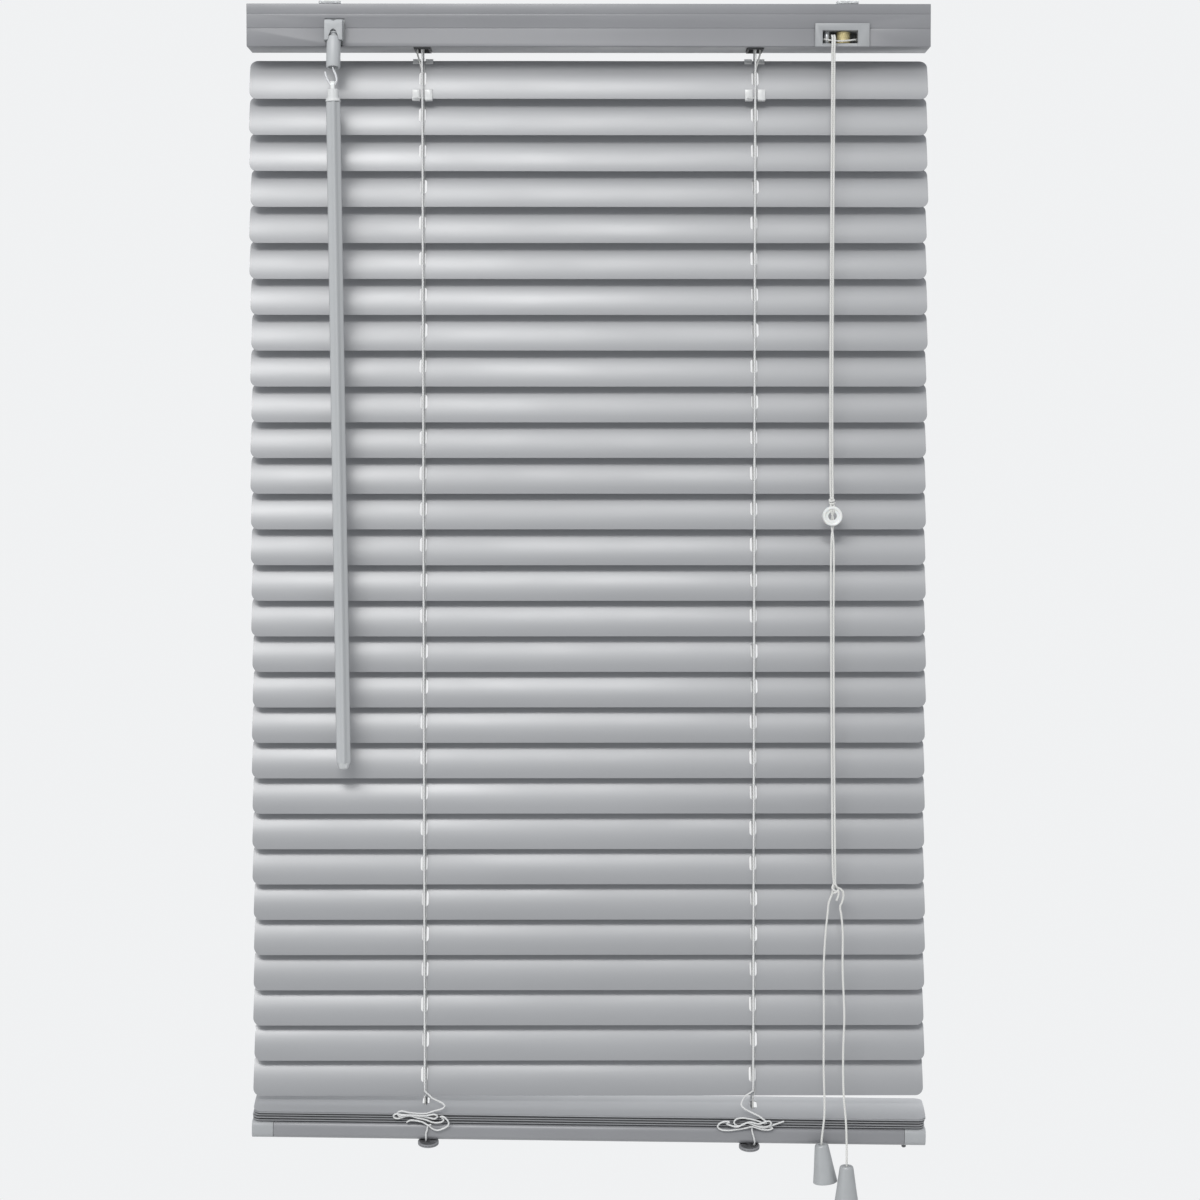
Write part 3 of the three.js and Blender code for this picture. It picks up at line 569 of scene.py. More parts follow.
connector = cord_disc()


# ---- slack ladder strings, lying in loops in front of the stacked slats and the bottom rail ----

LEFT_LOOPS = [
    (3.3, -17.7, 14.2), (3.9, -18.6, 13.6), (7.8, -22, 12.6), (11.4, -25, 11.6), (12.5, -26, 10.2),
    (10.8, -26.4, 8.9), (5.4, -26.6, 7.4), (1.6, -26.9, 6.2), (-8, -26.7, 6.5), (-13.7, -26.5, 7.5),
    (-15.9, -26.4, 6.3), (-14.7, -27, 4.7), (-12.2, -27.8, 5.3), (-6.6, -28.2, 5.5), (0.8, -28.3, 5.2),
    (6.5, -28, 5.9), (8.3, -27.6, 4.8), (6.5, -27.3, 3.1), (2.4, -27.2, 3.9), (-4.2, -27.4, 4.9),
    (-12.6, -27.6, 5.6), (-17, -27, 5.9), (-18.2, -26.6, 4.4), (-16.4, -26.6, 3.1), (-12.6, -26.9, 4),
    (-9, -27.3, 5), (-3.8, -27.3, 3.7), (1.6, -27.2, 2.4), (4.6, -27, 1.1), (7.7, -26.9, 0.6),
    (10.7, -26.8, 1.1), (12.1, -26.8, 2.5), (9.9, -27, 4.3), (11.3, -27.6, 4.6), (13.4, -27.8, 3.2),
    (14.9, -27.6, 0.8), (14.1, -27.2, -1.3), (10.7, -26.9, -3.2), (8.1, -26.8, -4), (5.4, -26.7, -3.2),
    (3.6, -26.6, -1.8), (2.4, -26.4, -0.8), (2.1, -26.3, -2.2), (2, -26.3, -3.6), (1.2, -26.2, -5.8),
    (1.2, -26, -7.9), (1.1, -24.6, -10.4), (1.0, -22.9, -11.2),
]
LEFT_FREE = [
    (-10.3, -26.2, 0.8), (-8, -26.6, 2.1), (-4.6, -26.8, 1.9), (-0.7, -26.8, 1), (1.6, -27, -0.3),
    (3, -27.2, -1), (4.3, -27.2, -0.2),
]
RIGHT_LOOPS = [
    (-4.4, -17.7, 17), (-5.4, -19, 16), (-6.3, -21, 15.4), (-7.5, -24.2, 13.3), (-6.3, -25.6, 11.7),
    (-0.6, -26.6, 8.8), (3.2, -27, 6.9), (5.5, -27.2, 5.2), (7.4, -27.2, 3.7), (7, -27, 2.6),
    (5.2, -26.8, 2.9), (2.1, -26.7, 4.2), (-2.1, -26.7, 5.2), (-6.7, -26.6, 5.9), (-10.6, -26.5, 5.2),
    (-12, -26.5, 3.5), (-11.4, -26.8, 2), (-9, -27.3, 1.4), (-6.7, -27.9, 2.1), (-4.4, -28.2, 3.5),
    (-2.1, -28.2, 2.9), (1.3, -28.1, 1.6), (4.4, -28, 0.8), (7.9, -27.8, 1.1), (10.2, -27.6, 2.4),
    (9.8, -27.4, 3.9), (7.5, -28.4, 4.4), (3, -28.8, 2.9), (-2.4, -28.9, 4), (-6.6, -28.7, 2.8),
    (-9.8, -28, 1), (-14, -27.4, 1.7), (-16.6, -27.1, 2.7), (-14.3, -27.6, 3.8), (-18.2, -27.4, 3.9),
    (-21.1, -27, 2.3), (-21.8, -26.8, 0.7), (-20.1, -26.6, -0.9), (-15.9, -26.5, -1.6), (-10.1, -26.5, -1),
    (-4.4, -26.8, 0), (-1.2, -27.4, 0.9), (2.5, -27.4, -0.1), (5.5, -27, -1), (9, -26.8, -1.1),
    (11.4, -26.8, -0.1), (7.8, -26, 0.5), (2.4, -25.9, 0.8), (-1.1, -26, 0.4), (-1.1, -26.2, -2.1),
    (-0.2, -26.1, -5.5), (0.4, -25.9, -8.2), (0.4, -24.6, -10.4), (0.2, -22.9, -11.2),
]
RIGHT_FREE = [(17.8, -26, 3.7), (14.7, -26.4, 2.7), (10.9, -26.3, 1.4), (6.6, -26.9, 0.1), (3, -27.2, -0.6)]


SLACK_RADIUS = 0.5


def loops():
    sides = (("left", -LADDER_X, LEFT_LOOPS, LEFT_FREE), ("right", LADDER_X, RIGHT_LOOPS, RIGHT_FREE))
    for side, x, points, free in sides:
        top = RAIL_TOP - x * math.sin(RAIL_ROLL)
        route = [(x + dx, y, top + dz) for dx, y, dz in points]
        obj, path = tube(f"slack_ladder_string_{side}", route, SLACK_RADIUS, "ladder", spacing=1.2)
        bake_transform(obj)
        end_route = [(x + dx, y, top + dz) for dx, y, dz in free]
        name = f"slack_ladder_string_{side}_free_end"
        end, _ = tube(name, end_route, SLACK_RADIUS, "ladder", "rail", spacing=1.2)


loops()


# ---- slats ----

def crown_height(across, outward=0.0):
    radius = SLAT_WIDTH / 2 / math.sin(SLAT_CROWN)
    return math.sqrt((radius + outward) ** 2 - across**2) - radius * math.cos(SLAT_CROWN)


def spread(low, high, count):
    return [low + (high - low) * i / (count - 1) for i in range(count)]


def slat_stations():
    half = SLAT_LENGTH / 2
    stations = []
    for sign in (-1, 1):
        ends = [half - SLAT_CORNER * (1 - math.cos(a)) for a in spread(0, math.pi / 2, 7)]
        stations += [sign * x for x in ends]
        width = ROUTE_HOLE_WIDTH / 2
        stations += [sign * ROUTE_HOLE_X + width * math.sin(a) for a in spread(-math.pi / 2, math.pi / 2, 9)]
    stations += spread(-half + 14, half - 14, 21)
    return sorted(set(round(x, 4) for x in stations))


def slat_surface():
    """Rows of (x, y) points with the mid block left open at the route holes."""
    half, width = SLAT_LENGTH / 2, SLAT_WIDTH / 2
    straight = ROUTE_HOLE_LENGTH / 2 - ROUTE_HOLE_WIDTH / 2
    outer_rows, middle_rows = 8, 7
    columns, opened = [], []
    for x in slat_stations():
        inset = max(0.0, abs(x) - (half - SLAT_CORNER))
        reach = width - SLAT_CORNER + math.sqrt(max(0.0, SLAT_CORNER**2 - inset**2))
        off = abs(abs(x) - ROUTE_HOLE_X)
        hole = straight + math.sqrt(max(0.0, (ROUTE_HOLE_WIDTH / 2) ** 2 - off**2))
        low = spread(-reach, -hole, outer_rows)
        mid = spread(-hole, hole, middle_rows)
        high = spread(hole, reach, outer_rows)
        columns.append([(x, y) for y in low + mid[1:-1] + high])
        opened.append(off <= ROUTE_HOLE_WIDTH / 2 + 1e-4)
    faces = []
    rows = len(columns[0])
    for i in range(len(columns) - 1):
        for j in range(rows - 1):
            is_middle = outer_rows - 1 <= j < outer_rows - 1 + middle_rows - 1
            if is_middle and opened[i] and opened[i + 1]:
                continue
            faces.append((i * rows + j, (i + 1) * rows + j, (i + 1) * rows + j + 1, i * rows + j + 1))
    return [p for column in columns for p in column], faces


SURFACE_POINTS, SURFACE_FACES = slat_surface()


def slat_mesh():
    """Both skins of the slat in its own frame, with the rims closed."""
    count = len(SURFACE_POINTS)
    verts = [Vector((x, y, crown_height(y, SLAT_THICKNESS))) for x, y in SURFACE_POINTS]
    verts += [Vector((x, y, crown_height(y))) for x, y in SURFACE_POINTS]
    faces = list(SURFACE_FACES) + [tuple(count + v for v in reversed(face)) for face in SURFACE_FACES]
    directed = set()
    for face in SURFACE_FACES:
        directed.update(zip(face, face[1:] + face[:1]))
    for a, b in directed:
        if (b, a) not in directed:
            faces.append((b, a, count + a, count + b))
    return verts, faces


SLAT_VERTS, SLAT_FACES = slat_mesh()
USED = sorted({v for face in SLAT_FACES for v in face})
RENUMBERED = {old: new for new, old in enumerate(USED)}
SLAT_VERTS = [SLAT_VERTS[v] for v in USED]
SLAT_FACES = [tuple(RENUMBERED[v] for v in face) for face in SLAT_FACES]


def slat(name, place, body, rng, bow=0.25):
    """A slat with its own slight bow and twist, as thin rolled strip has."""
    sag = rng.uniform(-bow, bow)
    twist = math.radians(rng.uniform(-0.35, 0.35))
    phase = rng.uniform(0, 2 * math.pi)
    verts = []
    for v in SLAT_VERTS:
        along = v.x / (SLAT_LENGTH / 2)
        ripple = 0.06 * math.sin(along * 7 + phase)
        turned = Matrix.Rotation(twist * along, 3, "X") @ v
        verts.append(place @ (turned + Vector((0, 0, sag * (1 - along**2) + ripple))))
    return piece(name, verts, SLAT_FACES, "slat", body, 30)


def hanging_slats():
    rng = random.Random(11)
    for number in range(1, SLAT_COUNT + 1):
        tilt = CLOSED_TILT + math.radians(rng.uniform(-0.5, 0.5))
        shift = rng.uniform(-0.45, 0.45)
        place = Matrix.Translation((shift, MID_Y, slat_z(number))) @ Matrix.Rotation(tilt, 4, "X")
        obj = slat(f"slat_{number:02d}_skin", place, f"body_slat_{number:02d}", rng)
        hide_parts(f"slat_{number:02d}")


RAIL_PLACE = (
    Matrix.Translation((0, MID_Y, RAIL_TOP - RAIL_HEIGHT / 2)) @ Matrix.Rotation(RAIL_ROLL, 4, "Y")
)


def stacked_slats():
    rng = random.Random(12)
    for i in range(4):
        height = RAIL_HEIGHT / 2 + 0.35 + i * STACK_PITCH
        shift = Matrix.Translation((rng.uniform(-0.9, 0.7), rng.uniform(-0.3, 0.3), height))
        obj = slat(f"stacked_slat_{34 - i}", RAIL_PLACE @ shift, "rail", rng, 0.12)
        if i == 0:
            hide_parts("stacked_slats")
    lean = Matrix.Translation((0.3, 0, RAIL_HEIGHT / 2 + STACK_RISE)) @ Matrix.Rotation(STACK_TILT, 4, "X")
    slat("stacked_slat_30", RAIL_PLACE @ lean, "rail", rng, 0.15)


hanging_slats()
stacked_slats()


# ---- ladders: strings, rungs, and the clips on the first slat ----

STRING_RADIUS = 0.55
STRING_STEP = 4.0


def straight(name, x, y, low, high, radius, look, body):
    count = max(2, round((high - low) / STRING_STEP))
    points = [(x, y, low + (high - low) * i / count) for i in range(count + 1)]
    obj, _ = tube(name, points, radius, look, body, smooth=False)
    return obj


def ladder_strings():
    for side, x in (("left", -LADDER_X), ("right", LADDER_X)):
        for face, y, way in (("front", FRONT_Y, -1), ("back", BACK_Y, 1)):
            top, gather, bottom = (slat_z(n) + way * EDGE_Z for n in (1, 24, 29))
            body = f"ladder_{face}"
            upper = straight(f"ladder_{face}_{side}_string", x, y, gather, top, STRING_RADIUS, "ladder", body)
            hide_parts(f"ladder_{face}_{side}")
            name = f"ladder_{face}_{side}_gathering_string"
            if face == "front":
                first = (LEFT_LOOPS if side == "left" else RIGHT_LOOPS)[0]
                knee = slat_z(29) - EDGE_Z + 3.0
                count = max(2, round((gather - knee) / STRING_STEP))
                points = [(x, y, knee + (gather - knee) * i / count) for i in range(count, -1, -1)]
                low_end = RAIL_TOP - x * math.sin(RAIL_ROLL) + first[2]
                points.append((x + first[0], y, low_end))
                lower, _ = tube(name, points, STRING_RADIUS, "ladder", body, smooth=False)
            else:
                lower = straight(name, x, y, bottom, gather, STRING_RADIUS, "ladder", body)
            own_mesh(lower)
            drum_y = MID_Y + way * 7.6
            ends = [(x, y, top), (x, y * 0.5 + drum_y * 0.5, (top - 7) / 2), (x, drum_y, -6.5)]
            feed, _ = tube(f"ladder_{face}_{side}_feed", ends, STRING_RADIUS, "ladder")
            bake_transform(feed)
    for side, x in (("left", -LADDER_X), ("right", LADDER_X)):
        low = RAIL_TOP - x * math.sin(RAIL_ROLL)
        bottom = slat_z(29) + EDGE_Z
        points = [(x, BACK_Y, bottom), (x, -3.0, bottom - 12), (x, 1.1, low + 6)]
        points += [(x, 1.0, low - 8), (x, -3.5, low - 12.2)]
        tail, _ = tube(f"ladder_back_{side}_tail", points, STRING_RADIUS, "ladder")
        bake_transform(tail)


# Each kind of rung: its name, its place beside the string, the skin it lies on, its gap from it, its radius.
RUNG_KINDS = (("under", -1.0, 0.0, -0.45, 0.3), ("over", 1.0, SLAT_THICKNESS, 0.3, 0.22))
LOOP_RADIUS = 0.62
LOOP_RISE = 0.9
LOOP_THREAD = 0.26


def rungs():
    """Two crossing rungs hold each slat, and their ends show as small loops on the strings."""
    span = SLAT_WIDTH / 2 + LADDER_STANDOFF
    for number in range(1, SLAT_COUNT + 1):
        turn = Matrix.Translation((0, MID_Y, slat_z(number))) @ Matrix.Rotation(CLOSED_TILT, 4, "X")
        body = f"body_slat_{number:02d}"
        for side, x in (("left", -LADDER_X), ("right", LADDER_X)):
            for which, offset, skin, gap, radius in RUNG_KINDS:
                across = spread(-SLAT_WIDTH / 2, SLAT_WIDTH / 2, 9)
                inner = [(x + offset, y, crown_height(y, skin) + gap) for y in across]
                bare = [(x, -span, 0.1)] + inner + [(x, span, 0.1)]
                points = [turn @ Vector(p) for p in bare]
                name = f"rung_{number:02d}_{side}_{which}"
                tube(name, points, radius, "ladder", body, sides=6, spacing=3.0)
            for way in (-1, 1):
                centre = turn @ Vector((x, way * span, 0.1))
                ring = []
                for i in range(9):
                    angle = 2 * math.pi * i / 8
                    height = LOOP_RISE - 2 * LOOP_RISE * i / 8
                    around = (LOOP_RADIUS * math.cos(angle), LOOP_RADIUS * math.sin(angle), height)
                    ring.append(centre + Vector(around))
                end = "front" if way < 0 else "back"
                held_by = f"ladder_{end}" if number < FIRST_GATHERED else body
                name = f"rung_loop_{number:02d}_{side}_{end}"
                tube(name, ring, LOOP_THREAD, "ladder", held_by, sides=6, spacing=0.8)


def clip_outline(reach, foot):
    """The clip's section across the slat: a tab on the crown and a lip under the slat's edge."""
    edge = SLAT_WIDTH / 2
    over = [(a, crown_height(a, SLAT_THICKNESS) + 0.12) for a in spread(edge - reach, edge, 5)]
    back = [(a, z + 0.8) for a, z in reversed(over)]
    wrap = [(edge + 0.25, over[-1][1] - 0.15), (edge + 0.25, -0.5), (edge - foot, -0.45), (edge - foot, -1.0)]
    wrap += [(edge + 0.95, -1.05), (edge + 0.95, back[0][1] - 0.1)]
    return over + wrap + back


FIRST_RUNG_TAIL = [
    (-1.4, -12.6, 1.1), (-3.4, -12.9, 2.2), (-5.2, -12.5, 1.3), (-3.0, -12.2, 1.5), (-0.8, -12.6, 1.6),
]


def first_slat_clips():
    """Clear clips that hold the first slat at each ladder, one each side of the string at both edges."""
    turn = Matrix.Translation((0, MID_Y, slat_z(1))) @ Matrix.Rotation(CLOSED_TILT, 4, "X")
    for side, x in (("left", -LADDER_X), ("right", LADDER_X)):
        for edge, way, reach in (("front", -1, 5.4), ("back", 1, 2.5)):
            outline = clip_outline(reach, 1.2)
            for flank in (-1, 1):
                low, high = sorted((x + flank * 1.5, x + flank * 6.0))
                bm = bmesh.new()
                rings = []
                for along in (low, high):
                    corners = [turn @ Vector((along, way * a, z)) for a, z in outline]
                    rings.append([bm.verts.new(corner * MM) for corner in corners])
                count = len(outline)
                for k in range(count):
                    n = (k + 1) % count
                    bm.faces.new((rings[0][k], rings[0][n], rings[1][n], rings[1][k]))
                bm.faces.new(rings[0])
                bm.faces.new(rings[1])
                bmesh.ops.recalc_face_normals(bm, faces=bm.faces)
                round_over(bm, 0.18, 40)
                name = f"slat_clip_{side}_{edge}_{'left' if flank < 0 else 'right'}"
                piece_from(bm, name, "clip", "body_slat_01")
        points = [turn @ Vector((x + dx, y, z)) for dx, y, z in FIRST_RUNG_TAIL]
        tube(f"first_rung_tail_{side}", points, 0.3, "ladder", "body_slat_01", sides=8, spacing=0.7)


ladder_strings()
rungs()
first_slat_clips()


# ---- lift cords: through the route holes, and along the headrail to the cord lock ----

LIFT_RADIUS = 0.5


def lift_cords():
    half = SLAT_PITCH / 2
    for side, x in (("left", -ROUTE_HOLE_X), ("right", ROUTE_HOLE_X)):
        gather = slat_z(24) - half
        enters = (math.copysign(HEADRAIL_CORD_X, x), LIFT_CORD_Y, -15.5)
        hang = [(x, LIFT_CORD_Y, gather + (-26.0 - gather) * i / 80) for i in range(81)]
        name = f"lift_cord_{side}_run"
        upper, _ = tube(name, hang + [enters], LIFT_RADIUS, "cord", "headrail_fixed", smooth=False)
        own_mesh(upper)
        for number in (25, 26, 27, 28):
            z = slat_z(number)
            name = f"lift_cord_{side}_at_{number}"
            stub = straight(name, x, LIFT_CORD_Y, z - half, z + half, LIFT_RADIUS, "cord", f"carrier_{number}")
            if side == "left":
                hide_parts(f"lift_cord_{number}")
            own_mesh(stub)
        low = RAIL_TOP - x * math.sin(RAIL_ROLL) - 9.9
        name = f"lift_cord_{side}_to_rail"
        last = straight(name, x, LIFT_CORD_Y, low, slat_z(29) + half, LIFT_RADIUS, "cord", "rail")
        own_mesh(last)
    runs = {
        "left": [
            (-HEADRAIL_CORD_X, LIFT_CORD_Y, -15.6), (-HEADRAIL_CORD_X, -14.6, -10.3),
            (-HEADRAIL_CORD_X, -18.2, -9.6), (-99.5, -21.2, -9.4), (-92, -22.0, -9.4), (-60, -22.2, -9.9),
            (0, -22.2, -10.4), (60, -22.0, -10.0), (90, -22.0, -9.4), (110, -21.2, -9.2),
            (126, -18.0, -8.6), (132.8, -16.4, -8.3), (138.3, -16.6, -8.2), (142.5, -17.2, -6.6),
        ],
        "right": [
            (HEADRAIL_CORD_X, LIFT_CORD_Y, -15.6), (HEADRAIL_CORD_X, -13.6, -10.3), (101.7, -9.0, -9.7),
            (103, -3.6, -9.4), (112, -2.2, -9.3), (130, -4.0, -9.0), (156, -5.6, -8.6),
            (165.9, -8.0, -8.3), (167.2, -13.0, -8.3), (162.2, -16.1, -8.4), (157.7, -19.0, -8.1),
            (157.3, -23.6, -8.2), (152.4, -25.3, -9.0), (147.0, -25.6, -9.3), (142.4, -25.3, -8.9),
            (138.6, -24.2, -8.1), (138.3, -20, -7.8), (140.4, -17.2, -7.2), (144.6, -16.9, -6.2),
        ],
    }
    for side, points in runs.items():
        tube(f"lift_cord_{side}_in_headrail", points, LIFT_RADIUS, "cord", "headrail_fixed", spacing=1.6)


lift_cords()


# ---- wand: wire hook, clear sleeve, hexagonal rod and end cap ----

WAND_LEAN = math.radians(0.7)
WAND_TOP = (-150.2, -30.8, -23.6)
WAND_PLACE = Matrix.Translation(WAND_TOP) @ Matrix.Rotation(-WAND_LEAN, 4, "Y")
HOOK_ROUTE = [
    (0, 0, 1.6), (0.1, 0, -1), (0.7, 0, -3.8), (1.9, 0, -6.8), (2.3, 0, -9.4), (1.6, 0, -11.4),
    (0, 0, -12.1), (-1.6, 0, -11.5), (-2.8, 0, -9.6), (-3.8, 0, -7.2), (-4.3, 0, -4.6),
]


def hex_rod():
    """Six slightly hollow faces with soft corners, carried the length of the wand."""
    outline = []
    for corner in range(6):
        angle = math.radians(60 * corner - 80)
        for turn, r in ((-9, 4.4), (-3, 4.56), (3, 4.56), (9, 4.4)):
            a = angle + math.radians(turn)
            outline.append((r * math.cos(a), r * math.sin(a)))
        middle = angle + math.radians(30)
        outline.append((3.9 * math.cos(middle), 3.9 * math.sin(middle)))
    levels = [(-22.3, 0.9), (-22.7, 1.0), (-60, 1.0), (-140, 1.0)]
    levels += [(-230, 1.0), (-320, 1.0), (-410.6, 1.0), (-411.2, 0.94)]
    verts = [WAND_PLACE @ Vector((x * s, y * s, z)) for z, s in levels for x, y in outline]
    n = len(outline)
    faces = []
    for i in range(len(levels) - 1):
        for k in range(n):
            m = (k + 1) % n
            faces.append((i * n + k, (i + 1) * n + k, (i + 1) * n + m, i * n + m))
    faces += [tuple(range(n)), tuple(reversed(range((len(levels) - 1) * n, len(levels) * n)))]
    return piece("wand_hex_rod", verts, faces, "wand", "wand", 12)


def wand_eye():
    """The flat white loop that the hook goes through, with its round hole."""
    eye_outline = []
    for i in range(25):
        angle = math.pi * i / 24
        eye_outline.append((2.2 * math.cos(angle), -12.4 + 2.3 * math.sin(angle)))
    eye_outline += [(-2.2, -15.2), (2.2, -15.2)]
    turns = [2 * math.pi * i / 24 for i in range(24)]
    hole = [(1.3 * math.cos(angle), -12.4 + 1.3 * math.sin(angle)) for angle in turns]
    bm = bmesh.new()
    outer = [bm.verts.new((WAND_PLACE @ Vector((1.1, y, z))) * MM) for y, z in eye_outline]
    inner = [bm.verts.new((WAND_PLACE @ Vector((1.1, y, z))) * MM) for y, z in hole]
    edges = []
    for ring in (outer, inner):
        edges += [bm.edges.new((ring[i], ring[(i + 1) % len(ring)])) for i in range(len(ring))]
    bmesh.ops.triangle_fill(bm, edges=edges, use_beauty=True)
    side = (WAND_PLACE.to_3x3() @ Vector((-2.2, 0, 0))) * MM
    grown = bmesh.ops.extrude_face_region(bm, geom=list(bm.faces))
    bmesh.ops.translate(bm, vec=side, verts=[v for v in grown["geom"] if isinstance(v, bmesh.types.BMVert)])
    bmesh.ops.recalc_face_normals(bm, faces=bm.faces)
    piece_from(bm, "wand_eye", "white", "wand", 40)


def wand():
    rod = hex_rod()
    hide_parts("wand_rod")
    sleeve = [
        (0.0, -14.6), (2.6, -14.6), (3.15, -14.9), (3.3, -15.5), (3.3, -19.3), (3.45, -19.8), (4.1, -20.6),
        (4.4, -21.4), (4.4, -22.0), (4.1, -22.2), (0.0, -22.2),
    ]
    lathe("wand_sleeve", list(reversed(sleeve)), "clip", "wand", 40, WAND_PLACE, 40, closed=False)
    cap = [
        (0.0, -410.4), (3.9, -410.4), (4.0, -411.4), (3.7, -412.0), (3.4, -413.4), (3.0, -414.4),
        (2.0, -414.95), (0.0, -415.0),
    ]
    lathe("wand_end_cap", list(reversed(cap)), "clear", "wand", 40, WAND_PLACE, 40, closed=False)
    wand_eye()
    hook_route = [WAND_PLACE @ Vector(p) for p in HOOK_ROUTE]
    hook, _ = tube("wand_hook_wire", hook_route, 0.68, "bright", "hook", 16, 0.7)
    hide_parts("wand_hook")


wand()


# ---- tilter, tilt rod and drums ----

softened("tilter_housing", 0.35, "tilter", "headrail_fixed")
softened("tilter_worm", 0.12, "tilter", "worm", 2, 35)
softened("tilter_gear", 0.12, "white", "tilt_shaft")
softened("tilt_rod", 0.3, "zinc", "tilt_shaft")
for side_name in ("left", "right"):
    softened(f"ladder_drum_{side_name}", 0.3, "white", "tilt_shaft")
    softened(f"ladder_cradle_{side_name}", 0.2, "dark", "headrail_fixed")
    softened(f"mounting_bracket_{side_name}", 0.25, "clear", "headrail_fixed")


# ---- cord lock ----

ROLLER_X = 150.2
ROLLER_Y = -20
PIN_PLACE = Matrix.Translation((140.4, -21.2, 0))


def knurled_roller():
    """A brass roller with crossed knurling between two plain lands."""
    around, rows = 132, 44
    low, high, radius = -10.2, -3.4, 4.1
    knurls, slant = 22, 2.1
    verts = []
    for j in range(rows + 1):
        t = j / rows
        z = low + (high - low) * t
        for i in range(around):
            angle = 2 * math.pi * i / around
            a = math.sin(knurls * angle + slant * z)
            b = math.sin(knurls * angle - slant * z)
            fade = min(1.0, 9 * t, 9 * (1 - t))
            r = radius - 0.05 - 0.17 * fade * (1 - max(a, b)) * 0.5
            if j in (0, rows):
                r = radius - 0.35
            verts.append((ROLLER_X + r * math.cos(angle), ROLLER_Y + r * math.sin(angle), z))
    faces = []
    for j in range(rows):
        for i in range(around):
            n = (i + 1) % around
            faces.append((j * around + i, j * around + n, (j + 1) * around + n, (j + 1) * around + i))
    faces += [tuple(reversed(range(around))), tuple(range(rows * around, (rows + 1) * around))]
    obj = piece("cord_lock_knurled_roller", verts, faces, "brass", "lock_roller", 40)
    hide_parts("cord_lock_roller")


def lock_pin():
    profile = [(0, -10.5), (1.5, -10.5), (1.7, -10.2), (1.7, -3.4), (1.5, -3.15), (0, -3.15)]
    lathe("cord_lock_pin", profile, "zinc", "headrail_fixed", 40, PIN_PLACE, 40, closed=False)


softened("cord_lock_housing", 0.4, "plastic", "headrail_fixed")
knurled_roller()
lock_pin()


# ---- headrail and bottom rail ----

softened("headrail", 0.22, "rail", "headrail_fixed", 2, 20)
softened("bottom_rail", 0.15, "rail", "rail", 2, 40)
softened("bottom_rail_cap_left", 0.9, "plastic", "rail", 3, 40)
softened("bottom_rail_cap_right", 0.9, "plastic", "rail", 3, 40)


def rail_buttons():
    """A dished disc that leans on a short stem under the rail's front edge, at each ladder."""
    disc = [
        (0, -0.35), (2.6, -0.4), (3.9, -0.65), (4.3, -0.8), (5.6, -0.75), (6.15, -0.4), (6.2, 0.3),
        (5.9, 0.7), (5.2, 0.8), (0, 0.8),
    ]
    for side, x in (("left", -BUTTON_X), ("right", BUTTON_X)):
        under = RAIL_PLACE @ Matrix.Translation((x, 0, -RAIL_HEIGHT / 2))
        place = under @ Matrix.Translation((0, BUTTON_Y, -BUTTON_DROP)) @ Matrix.Rotation(BUTTON_LEAN, 4, "X")
        lathe(f"rail_button_{side}", disc, "button", "rail", 48, place, 40, closed=False)
        stem = [(0, -1.0), (1.9, -1.0), (2.0, -0.6), (2.0, 2.4), (0, 2.4)]
        stem_place = under @ Matrix.Translation((0, BUTTON_STEM_Y, -BUTTON_DROP))
        lathe(f"rail_button_stem_{side}", stem, "button", "rail", 32, stem_place, 40, closed=False)
    nub = [(0, -2.2), (0.9, -2.2), (1.3, -1.8), (1.4, -0.1), (0, -0.1)]
    place = RAIL_PLACE @ Matrix.Translation((189, -6, -RAIL_HEIGHT / 2))
    lathe("rail_cap_nub", nub, "button", "rail", 24, place, 40, closed=False)


rail_buttons()


# ---- studio: floor, world and lights ----

ROOM_ABOVE = 0.92
ROOM_BELOW = 0.36


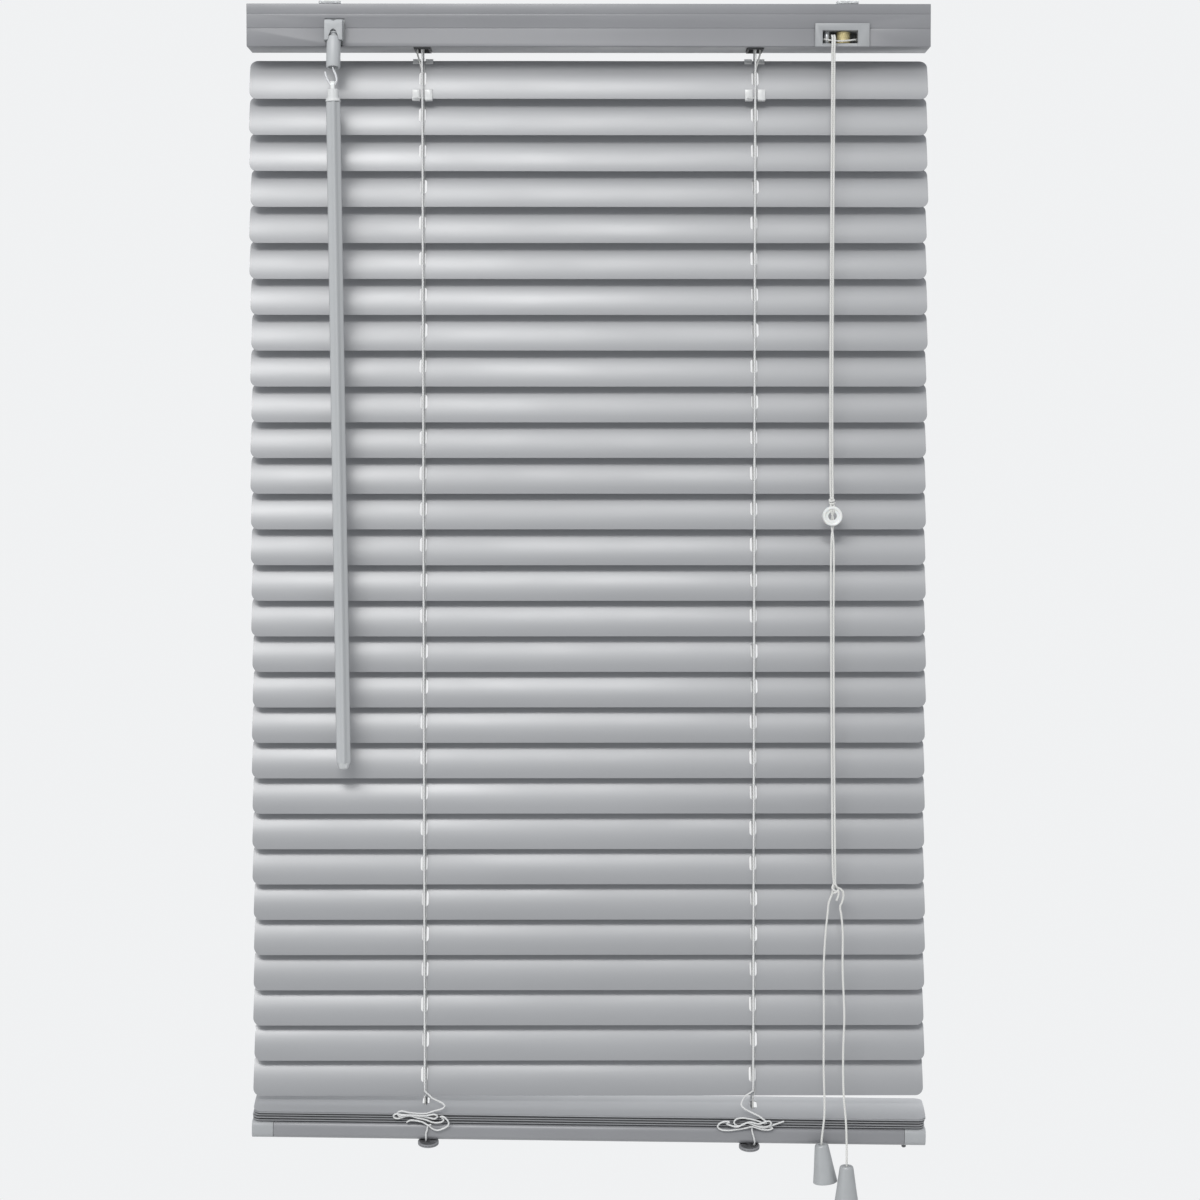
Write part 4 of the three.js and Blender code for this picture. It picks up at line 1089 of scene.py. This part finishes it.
def studio():
    size, low = 2.2, -1.55
    verts = [(-size, -size, low), (size, -size, low), (size, size, low), (-size, size, low)]
    mesh = bpy.data.meshes.new("floor")
    mesh.from_pydata(verts, [], [(0, 1, 2, 3)])
    surface = Surface("floor_paper", (0.80, 0.80, 0.79), 0.75)
    surface.mottle(0.015, 1.5).grainy(300, 0.0002, 0.15)
    mesh.materials.append(surface.material)
    floor = bpy.data.objects.new("floor", mesh)
    bpy.context.scene.collection.objects.link(floor)

    world = bpy.data.worlds.new("studio")
    world.use_nodes = True
    nodes, links = world.node_tree.nodes, world.node_tree.links
    seen = nodes["Background"]
    seen.inputs["Color"].default_value = (0.95, 0.96, 0.97, 1)
    seen.inputs["Strength"].default_value = 0.92
    room = nodes.new("ShaderNodeBackground")
    room.inputs["Color"].default_value = (0.95, 0.97, 1.0, 1)
    place = nodes.new("ShaderNodeTexCoord")
    parts = nodes.new("ShaderNodeSeparateXYZ")
    brightness = nodes.new("ShaderNodeMapRange")
    brightness.inputs["From Min"].default_value = -0.6
    brightness.inputs["From Max"].default_value = 0.8
    brightness.inputs["To Min"].default_value = ROOM_BELOW
    brightness.inputs["To Max"].default_value = ROOM_ABOVE
    path = nodes.new("ShaderNodeLightPath")
    either = nodes.new("ShaderNodeMixShader")
    links.new(place.outputs["Generated"], parts.inputs["Vector"])
    links.new(parts.outputs["Z"], brightness.inputs["Value"])
    links.new(brightness.outputs["Result"], room.inputs["Strength"])
    links.new(path.outputs["Is Camera Ray"], either.inputs["Fac"])
    links.new(room.outputs["Background"], either.inputs[1])
    links.new(seen.outputs["Background"], either.inputs[2])
    links.new(either.outputs["Shader"], nodes["World Output"].inputs["Surface"])
    bpy.context.scene.world = world

    def area(name, place, aim, width, height, power, colour):
        data = bpy.data.lights.new(name, "AREA")
        data.shape = "RECTANGLE"
        data.size, data.size_y = width, height
        data.energy = power
        data.color = colour
        light = bpy.data.objects.new(name, data)
        bpy.context.scene.collection.objects.link(light)
        light.location = place
        light.rotation_euler = (Vector(aim) - Vector(place)).to_track_quat("-Z", "Y").to_euler()

    area("key", (-1.3, -4.2, 3.2), (0, 0, -0.35), 3.6, 1.2, 165, (1.0, 0.99, 0.97))
    area("side", (-1.5, -1.5, -0.3), (0, 0, -0.35), 1.0, 1.4, 3.5, (0.96, 0.98, 1.0))
    area("back", (0.6, 1.8, 0.5), (0, 0, -0.35), 1.6, 1.4, 10, (0.97, 0.985, 1.0))


studio()

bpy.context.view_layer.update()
